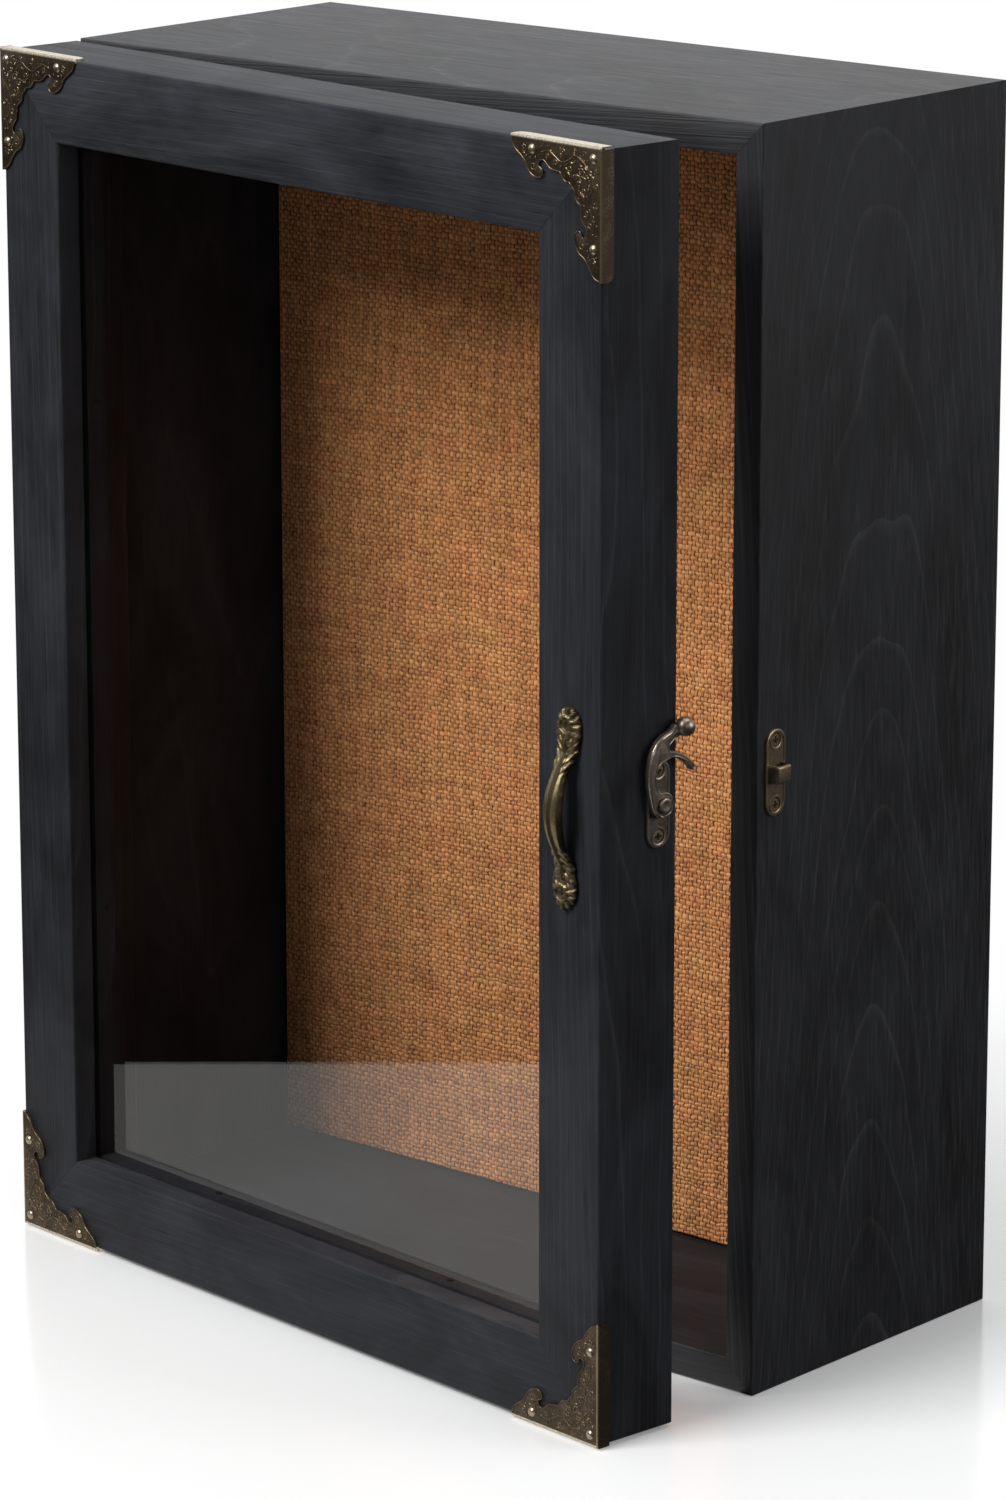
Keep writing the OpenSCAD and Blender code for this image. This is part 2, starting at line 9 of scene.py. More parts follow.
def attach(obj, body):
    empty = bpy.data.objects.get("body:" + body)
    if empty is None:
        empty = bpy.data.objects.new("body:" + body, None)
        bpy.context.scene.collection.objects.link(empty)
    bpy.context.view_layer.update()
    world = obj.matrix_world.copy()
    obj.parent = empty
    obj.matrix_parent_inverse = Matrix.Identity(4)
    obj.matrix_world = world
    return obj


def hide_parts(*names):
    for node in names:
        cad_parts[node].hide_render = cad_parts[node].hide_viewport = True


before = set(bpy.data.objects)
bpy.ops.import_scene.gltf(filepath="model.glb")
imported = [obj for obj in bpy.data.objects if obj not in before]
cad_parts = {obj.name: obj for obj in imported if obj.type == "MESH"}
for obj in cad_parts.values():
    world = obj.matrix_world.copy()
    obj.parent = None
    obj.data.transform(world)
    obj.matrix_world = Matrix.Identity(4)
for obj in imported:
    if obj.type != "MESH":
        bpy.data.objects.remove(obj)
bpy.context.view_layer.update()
scene = bpy.context.scene
mm = 0.001

# The display case in millimetres, with the door drawn closed
case = {
    "width": 300, "height": 420, "front": -63.5, "back": 63.5, "board": 11,
    "rabbetDepth": 5, "rabbetWidth": 6, "eased": 0.7, "mitreGap": 0.05,
}
door = {
    "front": -96.5, "back": -63.8, "bottom": 1.3, "top": 419.3, "stile": 29,
    "lip": 9, "lipWidth": 6, "eased": 0.9, "mitreGap": 0.05,
    "hinge": (-151.8, -63.65), "ajar": math.radians(7.1),
}
doorMiddle = (door["bottom"] + door["top"]) / 2
halfWidth = case["width"] / 2
midHeight = 210


# Node helpers

def newFinish(name):
    finish = bpy.data.materials.new(name)
    finish.use_nodes = True
    finish.node_tree.nodes.clear()
    return finish, finish.node_tree


def addNode(tree, kind, sockets=None, **settings):
    node = tree.nodes.new(kind)
    for key, value in settings.items():
        setattr(node, key, value)
    for key, value in (sockets or {}).items():
        if isinstance(value, bpy.types.NodeSocket):
            tree.links.new(value, node.inputs[key])
        else:
            node.inputs[key].default_value = value
    return node


def maths(tree, operation, a, b=0.0, clamp=False):
    node = addNode(tree, "ShaderNodeMath", {0: a, 1: b}, operation=operation, use_clamp=clamp)
    return node.outputs[0]


def plus(tree, a, b, clamp=False):
    return maths(tree, "ADD", a, b, clamp)


def minus(tree, a, b):
    return maths(tree, "SUBTRACT", a, b)


def times(tree, a, b):
    return maths(tree, "MULTIPLY", a, b)


def spread(tree, value, low, high, newLow=0.0, newHigh=1.0):
    sockets = {"Value": value, "From Min": low, "From Max": high, "To Min": newLow, "To Max": newHigh}
    return addNode(tree, "ShaderNodeMapRange", sockets).outputs["Result"]


def blendColours(tree, factor, a, b, kind="MIX"):
    node = addNode(tree, "ShaderNodeMix", {0: factor, 6: a, 7: b}, data_type="RGBA", blend_type=kind)
    return node.outputs[2]


def brightened(tree, colour, value):
    return addNode(tree, "ShaderNodeHueSaturation", {"Value": value, "Color": colour}).outputs["Color"]


def onObject(tree):
    return addNode(tree, "ShaderNodeTexCoord").outputs["Object"]


def axesOf(tree, vector):
    return addNode(tree, "ShaderNodeSeparateXYZ", {0: vector}).outputs


def joined(tree, x, y, z):
    return addNode(tree, "ShaderNodeCombineXYZ", {0: x, 1: y, 2: z}).outputs[0]


def mapped(tree, vector, scale=(1, 1, 1), turn=(0, 0, 0), shift=(0, 0, 0)):
    sockets = {"Vector": vector, "Scale": scale, "Rotation": turn, "Location": shift}
    return addNode(tree, "ShaderNodeMapping", sockets).outputs["Vector"]


def cloud(tree, place, grain, detail=3.0, rough=0.5, distortion=0.0, shift=(0, 0, 0)):
    sockets = {
        "Vector": mapped(tree, place, scale=grain, shift=shift), "Scale": 1.0, "Detail": detail,
        "Roughness": rough, "Distortion": distortion,
    }
    return addNode(tree, "ShaderNodeTexNoise", sockets).outputs["Fac"]


def bumped(tree, height, strength, distance):
    sockets = {"Height": height, "Strength": strength, "Distance": distance}
    return addNode(tree, "ShaderNodeBump", sockets).outputs["Normal"]


def finishWith(tree, **sockets):
    named = {key.replace("_", " "): value for key, value in sockets.items()}
    shader = addNode(tree, "ShaderNodeBsdfPrincipled", named)
    addNode(tree, "ShaderNodeOutputMaterial", {"Surface": shader.outputs[0]})


# Finishes

stain = {
    "dark": (0.0078, 0.0081, 0.0095, 1), "light": (0.0195, 0.0205, 0.025, 1), "grain": (0.1, 0.1, 0.095, 1),
    "pore": (0.0035, 0.0035, 0.004, 1),
    "wander": 0.015, "wanderGrain": (13, 13, 3.5), "fibreGrain": (1500, 1500, 16),
    "streakGrain": (800, 800, 8), "patchGrain": (30, 30, 14), "waveTurn": 0.314, "lateWood": 0.86,
    "lateSharp": 1.4, "deep": 0.00045,
}

# How each board is sawn: where the pith lies, how the grain leans and how clearly it shows
sawn = {
    "caseUpright": {
        "pith": (-0.09, 0.004, 0.11), "lean": (0, 4.2), "ringPitch": 0.0026, "figure": 0.27, "streaks": 0.19,
        "relief": 0.6, "gloss": 0.36, "tone": 1.0,
    },
    "caseLevel": {
        "pith": (0.07, 0.03, 0.31), "lean": (0, 3), "ringPitch": 0.0031, "figure": 0.28, "streaks": 0.15,
        "relief": 0.7, "gloss": 0.36, "tone": 1.0,
    },
    "doorUpright": {
        "pith": (-0.06, 0.14, 0.52), "lean": (1, 1), "ringPitch": 0.0031, "figure": 0.14, "streaks": 0.08,
        "relief": 0.42, "gloss": 0.13, "tone": 1.32,
    },
    "doorLevel": {
        "pith": (-0.33, 0.15, 0.77), "lean": (1.5, 0.5), "ringPitch": 0.0031, "figure": 0.1, "streaks": 0.08,
        "relief": 0.42, "gloss": 0.11, "tone": 1.55,
    },
    "caseInside": {
        "pith": (-0.09, 0.004, 0.11), "lean": (0, 2), "ringPitch": 0.0031, "figure": 0.05, "streaks": 0.03,
        "relief": 0.3, "gloss": 0.12, "tone": 1.5,
    },
}


def stainedWood(name, cut, alongX=False, onDoor=False):
    finish, tree = newFinish(name)
    place = onObject(tree)
    if onDoor:
        place = mapped(tree, place, turn=(0, 0, door["ajar"]))
    if alongX:
        place = mapped(tree, place, turn=(0, math.radians(-90), 0))
    lean = [math.radians(angle) for angle in cut["lean"]]
    along = mapped(tree, place, turn=(*lean, 0), shift=cut["pith"])
    wander = cloud(tree, along, stain["wanderGrain"], 2.0)
    push = joined(tree, times(tree, wander, stain["wander"]), 0.0, 0.0)
    sway = addNode(tree, "ShaderNodeVectorMath", {0: along, 1: push}, operation="ADD").outputs[0]
    rings = addNode(
        tree, "ShaderNodeTexWave",
        {"Vector": sway, "Scale": stain["waveTurn"] / cut["ringPitch"], "Distortion": 1.1, "Detail": 2.0,
         "Detail Scale": 0.25, "Detail Roughness": 0.5},
        wave_type="RINGS", rings_direction="Z", wave_profile="SAW",
    ).outputs["Fac"]
    lateWood = maths(tree, "POWER", spread(tree, rings, stain["lateWood"], 1.0), stain["lateSharp"])
    fibre = cloud(tree, along, stain["fibreGrain"], 3.0, 0.6)
    streak = cloud(tree, along, stain["streakGrain"], 4.0, 0.65)
    patches = cloud(tree, along, stain["patchGrain"], 5.0, 0.62, 0.8)
    body = blendColours(tree, spread(tree, patches, 0.34, 0.68), stain["dark"], stain["light"])
    lines = times(tree, lateWood, spread(tree, patches, 0.3, 0.6, 0.25, 1.0))
    figured = times(tree, lines, cut["figure"])
    fine = times(tree, spread(tree, streak, 0.5, 0.82), cut["streaks"])
    amount = plus(tree, figured, fine, True)
    pores = times(tree, spread(tree, fibre, 0.42, 0.28), 0.6)
    colour = blendColours(tree, pores, blendColours(tree, amount, body, stain["grain"]), stain["pore"])
    height = plus(tree, times(tree, fibre, 0.7), times(tree, amount, 0.8))
    finishWith(
        tree, Base_Color=brightened(tree, colour, cut["tone"]),
        Roughness=spread(tree, streak, 0.3, 0.75, 0.42, 0.62), Specular_IOR_Level=cut["gloss"],
        Normal=bumped(tree, height, cut["relief"], stain["deep"]),
    )
    return finish


# the near-black gap colour is painted shade, laid in the hollows and slits between threads
linen = {
    "warp": (0.70, 0.255, 0.077, 1), "weft": (0.78, 0.32, 0.11, 1), "gap": (0.11, 0.024, 0.004, 1),
    # the pale orange fleck colour is a painted highlight
    "straw": (0.82, 0.37, 0.14, 1), "rust": (0.54, 0.18, 0.048, 1), "fleckHighlight": (1.0, 0.64, 0.32, 1),
    "pitchX": 0.0015, "pitchZ": 0.00166, "wobble": 1.15, "bowX": 6.2, "bowZ": 5.6, "rise": 0.7,
    "cellStep": 5.3, "slubs": 85.0, "slubGrain": (0.83, 0.83, 0.83), "warm": (1.03, 0.94, 0.95, 1),
    "cool": (0.98, 1.02, 0.97, 1), "relief": 0.75, "deep": 0.0005,
    "width": 277.2, "height": 397.2, "front": 22.0, "back": 31.8, "turn": 20, "thickness": 0.9, "fold": 1.5,
}


def threadPlace(tree, along, pitch, wobble):
    across = plus(tree, maths(tree, "DIVIDE", along, pitch), times(tree, wobble, linen["wobble"]))
    within = maths(tree, "FRACT", across)
    fromMid = maths(tree, "ABSOLUTE", minus(tree, within, 0.5))
    return across, maths(tree, "FLOOR", across), within, fromMid


def crowned(tree, fromMid, bow):
    return minus(tree, 1.0, times(tree, maths(tree, "POWER", fromMid, 2.0), bow))


def wovenLinen(name):
    finish, tree = newFinish(name)
    place = onObject(tree)
    x, _, z = axesOf(tree, place)
    # threads wander, and neighbours differ in width
    wobbleX = plus(tree, cloud(tree, place, (60, 60, 240), 2.0), cloud(tree, place, (420, 60, 70), 1.0))
    bend = cloud(tree, place, (240, 60, 60), 2.0, shift=(3, 1, 7))
    wobbleZ = plus(tree, bend, cloud(tree, place, (70, 60, 420), 1.0))
    acrossX, cellX, withinX, fromMidX = threadPlace(tree, x, linen["pitchX"], wobbleX)
    acrossZ, cellZ, _, fromMidZ = threadPlace(tree, z, linen["pitchZ"], wobbleZ)
    # each thread rises and dips as it crosses the others
    warpTurn = times(tree, plus(tree, minus(tree, acrossZ, 0.5), cellX), math.pi)
    weftTurn = times(tree, plus(tree, minus(tree, acrossX, 0.5), cellZ), math.pi)
    warpWave = times(tree, maths(tree, "COSINE", warpTurn), linen["rise"])
    weftWave = times(tree, maths(tree, "COSINE", weftTurn), linen["rise"])
    warpHeight = plus(tree, crowned(tree, fromMidX, linen["bowX"]), warpWave)
    weftHeight = minus(tree, crowned(tree, fromMidZ, linen["bowZ"]), weftWave)
    over = maths(tree, "GREATER_THAN", weftHeight, warpHeight)
    height = maths(tree, "MAXIMUM", weftHeight, warpHeight)
    alongWarp = joined(tree, times(tree, cellX, linen["cellStep"]), 2.0, times(tree, z, linen["slubs"]))
    alongWeft = joined(tree, times(tree, x, linen["slubs"]), 9.0, times(tree, cellZ, linen["cellStep"]))
    warpTone = cloud(tree, alongWarp, linen["slubGrain"], 2.0)
    weftTone = cloud(tree, alongWeft, linen["slubGrain"], 2.0)
    warpColour = blendColours(tree, spread(tree, warpTone, 0.4, 0.6), linen["rust"], linen["warp"])
    weftColour = blendColours(tree, spread(tree, weftTone, 0.4, 0.6), linen["weft"], linen["straw"])
    thread = blendColours(tree, over, warpColour, weftColour)
    fuzz = cloud(tree, place, (2600, 2600, 2600), 3.0, 0.7)
    # painted highlight: pale flecks laid over the threads where the fine fuzz noise is high
    paintedFleckHighlights = blendColours(tree, spread(tree, fuzz, 0.5, 0.8), thread, linen["fleckHighlight"])
    # painted shadow: a warp thread on top gets a dark slit along its right side, as if lit from the left
    paintedSlitShadow = times(tree, spread(tree, withinX, 0.66, 0.8), minus(tree, 1.0, over))
    paintedSlitShadow = times(tree, paintedSlitShadow, spread(tree, fromMidZ, 0.5, 0.36))
    uneven = cloud(tree, place, (480, 480, 480), 3.0, 0.6)
    # painted shade: the hollows between threads are darkened towards the gap colour, and the slits too
    shadeBetweenThreads = minus(tree, 1.0, spread(tree, height, 0.25, 1.3))
    paintedHollowShade = times(tree, shadeBetweenThreads, spread(tree, uneven, 0.34, 0.6, 0.1, 0.78))
    paintedSlitShadows = times(tree, paintedSlitShadow, spread(tree, uneven, 0.36, 0.58, 0.45, 1.0))
    colour = blendColours(tree, plus(tree, paintedHollowShade, paintedSlitShadows, True), paintedFleckHighlights, linen["gap"])
    # whole threads run darker or lighter, and patches warmer or cooler
    threads = plus(tree, spread(tree, warpTone, 0.36, 0.64), spread(tree, weftTone, 0.36, 0.64))
    patch = cloud(tree, place, (110, 110, 110), 3.0)
    tint = blendColours(tree, spread(tree, patch, 0.35, 0.65), linen["warm"], linen["cool"])
    toned = brightened(tree, colour, spread(tree, threads, 0.2, 1.8, 0.8, 1.1))
    tall = plus(tree, times(tree, height, 0.6), times(tree, fuzz, 0.3))
    tall = minus(tree, tall, times(tree, paintedSlitShadow, 0.6))
    finishWith(
        tree, Base_Color=blendColours(tree, 1.0, toned, tint, "MULTIPLY"), Roughness=0.86,
        Specular_IOR_Level=0.2, Sheen_Weight=0.1, Sheen_Roughness=0.5,
        Normal=bumped(tree, tall, linen["relief"], linen["deep"]),
    )
    return finish


bronze = {"pale": (0.8, 0.72, 0.58, 1), "metal": 0.9, "speckles": 0.9, "patina": 0.7, "deep": 0.0001}


def agedBronze(name, bright, dark, rough=(0.28, 0.5), speckleGrain=900):
    finish, tree = newFinish(name)
    place = onObject(tree)
    raised = addNode(tree, "ShaderNodeAttribute", attribute_name="wearAndHighlight").outputs["Fac"]
    speckle = cloud(tree, place, (speckleGrain,) * 3, 4.0, 0.65)
    patina = cloud(tree, place, (170, 170, 170), 3.0, 0.6)
    edge = plus(tree, raised, times(tree, minus(tree, speckle, 0.5), bronze["speckles"]))
    mixed = plus(tree, edge, times(tree, minus(tree, patina, 0.5), bronze["patina"]), True)
    # values near the top of the scale turn pale: rubbed wear, and on some edges a painted highlight
    paleWearAndHighlight = times(tree, spread(tree, raised, 0.9, 1.0), spread(tree, speckle, 0.3, 0.6))
    finishWith(
        tree, Base_Color=blendColours(tree, paleWearAndHighlight, blendColours(tree, mixed, dark, bright), bronze["pale"]),
        Metallic=bronze["metal"], Roughness=spread(tree, mixed, 0.0, 1.0, rough[1], rough[0]),
        Normal=bumped(tree, speckle, 0.25, bronze["deep"]),
    )
    return finish


def plainSteel(name):
    finish, tree = newFinish(name)
    scratch = cloud(tree, onObject(tree), (2500, 2500, 400), 3.0)
    share = spread(tree, scratch, 0.3, 0.7)
    finishWith(
        tree, Base_Color=blendColours(tree, share, (0.30, 0.29, 0.27, 1), (0.52, 0.50, 0.47, 1)),
        Metallic=1.0, Roughness=spread(tree, scratch, 0.3, 0.7, 0.28, 0.45),
        Normal=bumped(tree, scratch, 0.2, 0.00008),
    )
    return finish


def bareBoard(name, pale, deep, grain, rough=0.75):
    finish, tree = newFinish(name)
    place = onObject(tree)
    fibre = cloud(tree, place, (grain,) * 3, 4.0, 0.62)
    broad = cloud(tree, place, (25, 25, 25), 3.0)
    colour = blendColours(tree, spread(tree, fibre, 0.34, 0.68), deep, pale)
    finishWith(
        tree, Base_Color=brightened(tree, colour, spread(tree, broad, 0.3, 0.7, 0.9, 1.08)), Roughness=rough,
        Specular_IOR_Level=0.3, Normal=bumped(tree, fibre, 0.4, 0.0002),
    )
    return finish


# Glass reflects little face on and more at a slant
pane = {"faceOn": 0.042, "clear": (0.985, 0.99, 0.987, 1), "rough": 0.004}


def clearGlass(name):
    finish, tree = newFinish(name)
    facing = addNode(tree, "ShaderNodeLayerWeight", {"Blend": 0.5}).outputs["Facing"]
    slant = times(tree, maths(tree, "POWER", facing, 5.0), 1 - pane["faceOn"])
    share = plus(tree, slant, pane["faceOn"], True)
    through = addNode(tree, "ShaderNodeBsdfTransparent", {"Color": pane["clear"]})
    shine = addNode(tree, "ShaderNodeBsdfGlossy", {"Color": (1, 1, 1, 1), "Roughness": pane["rough"]})
    both = addNode(tree, "ShaderNodeMixShader", {0: share, 1: through.outputs[0], 2: shine.outputs[0]})
    addNode(tree, "ShaderNodeOutputMaterial", {"Surface": both.outputs[0]})
    return finish


finishes = {
    "caseUpright": stainedWood("case_wood_upright", sawn["caseUpright"]),
    "caseLevel": stainedWood("case_wood_level", sawn["caseLevel"], alongX=True),
    "insideUpright": stainedWood("case_inside_upright", sawn["caseInside"]),
    "insideLevel": stainedWood("case_inside_level", sawn["caseInside"], alongX=True),
    "doorUpright": stainedWood("door_wood_upright", sawn["doorUpright"], onDoor=True),
    "doorLevel": stainedWood("door_wood_level", sawn["doorLevel"], alongX=True, onDoor=True),
    "linen": wovenLinen("coarse_linen"),
    "bracket": agedBronze(
        "bracket_bronze", (0.34, 0.25, 0.15, 1), (0.06, 0.043, 0.028, 1), (0.32, 0.5), 1500
    ),
    "nail": agedBronze("nail_brass", (0.46, 0.38, 0.27, 1), (0.1, 0.08, 0.055, 1), (0.28, 0.42), 1500),
    "handle": agedBronze("handle_bronze", (0.36, 0.28, 0.15, 1), (0.06, 0.045, 0.025, 1), (0.33, 0.46), 1400),
    "latch": agedBronze("latch_bronze", (0.5, 0.4, 0.32, 1), (0.1, 0.08, 0.066, 1), (0.27, 0.46)),
    "catch": agedBronze("catch_bronze", (0.52, 0.4, 0.25, 1), (0.11, 0.085, 0.062, 1), (0.27, 0.46)),
    "darkBrad": agedBronze("dark_brad", (0.05, 0.045, 0.04, 1), (0.02, 0.018, 0.016, 1), (0.4, 0.6)),
    "steel": plainSteel("bright_steel"),
    "pine": bareBoard("pine_batten", (0.62, 0.44, 0.26, 1), (0.47, 0.31, 0.16, 1), 300),
    "fibreBoard": bareBoard("fibre_board", (0.46, 0.34, 0.2, 1), (0.33, 0.23, 0.12, 1), 700, 0.9),
    "backBoard": bareBoard("back_board", (0.03, 0.028, 0.027, 1), (0.016, 0.015, 0.015, 1), 420, 0.62),
    "glass": clearGlass("window_glass"),
}
print("finishes are ready")


# Mesh helpers

def emptyMesh():
    bm = bmesh.new()
    bm.verts.layers.float.new("wearAndHighlight")  # how far a raised edge is rubbed bright, and on some edges painted pale as a highlight
    return bm


def swingDoor(bm):
    hinge = Vector((*door["hinge"], 0)) * mm
    bmesh.ops.rotate(bm, cent=hinge, matrix=Matrix.Rotation(-door["ajar"], 3, "Z"), verts=bm.verts)


def makePiece(name, bm, finish, body, nodes, onDoor=False, crease=38, recalc=True):
    bmesh.ops.scale(bm, vec=(mm, mm, mm), verts=bm.verts)
    if onDoor:
        swingDoor(bm)
    if recalc:
        bmesh.ops.recalc_face_normals(bm, faces=bm.faces)
    mesh = bpy.data.meshes.new(name)
    bm.to_mesh(mesh)
    bm.free()
    mesh.shade_smooth()
    mesh.set_sharp_from_angle(angle=math.radians(crease))
    mesh.materials.append(finish)
    piece = bpy.data.objects.new(name, mesh)
    scene.collection.objects.link(piece)
    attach(piece, body)
    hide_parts(*nodes)
    return piece


def madeOf(made, kind):
    return [part for part in made["geom"] if isinstance(part, kind)]


# A set would list mesh parts in another order each run
def each(parts):
    return list(dict.fromkeys(parts))


def raiseFace(bm, face, offset):
    grown = bmesh.ops.extrude_face_region(bm, geom=[face])
    bmesh.ops.translate(bm, vec=offset, verts=madeOf(grown, bmesh.types.BMVert))
    return madeOf(grown, bmesh.types.BMFace)[0]


def ease(bm, edges, width, segments=2):
    return bmesh.ops.bevel(
        bm, geom=edges, offset=width, offset_type="OFFSET", segments=segments, profile=0.5,
        material=-1, affect="EDGES", clamp_overlap=True,
    )


def curvePoints(points, resolution, cyclic=False):
    curve = bpy.data.curves.new("outline", "CURVE")
    curve.dimensions = "3D"
    curve.resolution_u = resolution
    spline = curve.splines.new("BEZIER")
    spline.bezier_points.add(len(points) - 1)
    spline.use_cyclic_u = cyclic
    for knot, point in zip(spline.bezier_points, points):
        knot.co = (*point, 0)
        knot.handle_left_type = knot.handle_right_type = "AUTO"
    holder = bpy.data.objects.new("outline", curve)
    scene.collection.objects.link(holder)
    bpy.context.view_layer.update()
    drawn = holder.evaluated_get(bpy.context.evaluated_depsgraph_get())
    found = [vert.co.copy() for vert in drawn.to_mesh().vertices]
    drawn.to_mesh_clear()
    bpy.data.objects.remove(holder)
    bpy.data.curves.remove(curve)
    return found


# A round bead along a path
def addTube(bm, path, radii, wearAndHighlight, sides=6, closed=False):
    rings = []
    count = len(path)
    for index, point in enumerate(path):
        before = path[index - 1] if index or closed else point
        after = path[(index + 1) % count] if index < count - 1 or closed else point
        radius = radii[index] if isinstance(radii, list) else radii
        ring = bmesh.ops.create_circle(bm, segments=sides, radius=radius, cap_ends=False)["verts"]
        turn = Vector((0, 0, 1)).rotation_difference((after - before).normalized()).to_matrix().to_4x4()
        bmesh.ops.transform(bm, matrix=Matrix.Translation(point) @ turn, verts=ring)
        markWearAndHighlight(bm, ring, wearAndHighlight)
        rings.append(ring)
    loops = rings + [rings[0]] if closed else rings
    for low, high in zip(loops, loops[1:]):
        for k in range(sides):
            bm.faces.new((low[k], low[(k + 1) % sides], high[(k + 1) % sides], high[k]))
    if not closed:
        bm.faces.new(rings[0])
        bm.faces.new(rings[-1])


def markWearAndHighlight(bm, verts, value):
    layer = bm.verts.layers.float["wearAndHighlight"]
    for vert in verts:
        vert[layer] = value


rightward, frontward = Vector((1, 0, 0)), Vector((0, -1, 0))
backward, upward = Vector((0, 1, 0)), Vector((0, 0, 1))


# Turn a flat drawing onto a face
def placeOnto(bm, origin, right, up, out, verts=None):
    turn = Matrix((right, up, out)).transposed().to_4x4()
    bmesh.ops.transform(bm, matrix=Matrix.Translation(origin) @ turn, verts=verts or bm.verts)


# Case and door boards

# Section of a board with a rabbet in its inner back corner, and the corners to ease
def rabbeted(front, back, wide, step, rabbet):
    narrow = wide - rabbet
    profile = [(0, front), (wide, front), (wide, step), (narrow, step), (narrow, back), (0, back)]
    return profile, [(0, front), (wide, front), (0, back), (narrow, back)]


def cutBoard(profile, easedCorners, length, eased, gap):
    bm = emptyMesh()
    spare = 1  # the mitres cut it off
    start = -length / 2 - spare
    face = bm.faces.new([bm.verts.new((start, depth, inward)) for inward, depth in profile])
    raiseFace(bm, face, (length + 2 * spare, 0, 0))
    soft = []
    for edge in bm.edges:
        a, b = (vert.co for vert in edge.verts)
        if abs(a.x - b.x) > 1 and any(abs(a.z - t) < 1e-3 and abs(a.y - y) < 1e-3 for t, y in easedCorners):
            soft.append(edge)
    ease(bm, soft, eased, 3)
    for side in (-1, 1):
        cut = bmesh.ops.bisect_plane(
            bm, geom=bm.verts[:] + bm.edges[:] + bm.faces[:], dist=1e-5,
            plane_co=(side * (length / 2 - gap), 0, 0), plane_no=(side, 0, 1), clear_outer=True,
        )
        bmesh.ops.edgeloop_fill(bm, edges=[e for e in cut["geom_cut"] if isinstance(e, bmesh.types.BMEdge)])
    return bm


turns = {"bottom": 0, "left": 90, "top": 180, "right": 270}


def standBoard(bm, side, middle, reach):
    bmesh.ops.translate(bm, vec=(0, 0, -reach), verts=bm.verts)
    bmesh.ops.rotate(bm, matrix=Matrix.Rotation(math.radians(turns[side]), 3, "Y"), verts=bm.verts)
    bmesh.ops.translate(bm, vec=(0, 0, middle), verts=bm.verts)


def caseBoards():
    board = case["board"]
    step = case["back"] - case["rabbetDepth"]
    profile, corners = rabbeted(case["front"], case["back"], board, step, case["rabbetWidth"])
    for side in turns:
        level = side in ("top", "bottom")
        length = case["width"] if level else case["height"]
        reach = (case["height"] if level else case["width"]) / 2
        bm = cutBoard(profile, corners, length, case["eased"], case["mitreGap"])
        for face in bm.faces:
            inside = all(abs(vert.co.z - board) < 1e-3 for vert in face.verts)
            face.material_index = 1 if inside else 0
        standBoard(bm, side, midHeight, reach)
        node = "case_" + (side if level else side + "_side")
        finish = finishes["caseLevel" if level else "caseUpright"]
        made = makePiece("board_" + side, bm, finish, "case", [node])
        made.data.materials.append(finishes["insideLevel" if level else "insideUpright"])  # a flatter black


def doorBoards():
    ledge = door["front"] + door["lip"]
    profile, corners = rabbeted(door["front"], door["back"], door["stile"], ledge, door["lipWidth"])
    tall = door["top"] - door["bottom"]
    for side in turns:
        level = side in ("top", "bottom")
        bm = cutBoard(profile, corners, case["width"] if level else tall, door["eased"], door["mitreGap"])
        standBoard(bm, side, doorMiddle, (tall if level else case["width"]) / 2)
        node = "door_" + side + ("_rail" if level else "_stile")
        finish = finishes["doorLevel" if level else "doorUpright"]
        makePiece("door_board_" + side, bm, finish, "door", [node], onDoor=True)


caseBoards()
doorBoards()
print("boards are cut and mitred")


# Linen wrapped round the pin board

def wrappedLinen():
    deep = linen["back"] - linen["front"]
    bm = emptyMesh()
    bmesh.ops.create_cube(bm, size=1)
    bmesh.ops.scale(bm, vec=(linen["width"], deep, linen["height"]), verts=bm.verts)
    bmesh.ops.translate(bm, vec=(0, linen["front"] + deep / 2, midHeight), verts=bm.verts)
    ease(bm, bm.edges[:], linen["fold"], 4)
    rear = max(bm.faces, key=lambda f: f.calc_center_median().y)
    bmesh.ops.inset_region(bm, faces=[rear], thickness=linen["turn"] - linen["fold"], use_even_offset=True)
    bmesh.ops.delete(bm, geom=[rear], context="FACES")
    bmesh.ops.recalc_face_normals(bm, faces=bm.faces)
    bmesh.ops.solidify(bm, geom=bm.faces[:], thickness=linen["thickness"])
    sheet = makePiece(
        "wrapped_linen", bm, finishes["linen"], "case", ["pin_board_linen"], recalc=False
    )


wrappedLinen()
print("linen is wrapped")


# Corner brackets with a pressed vine

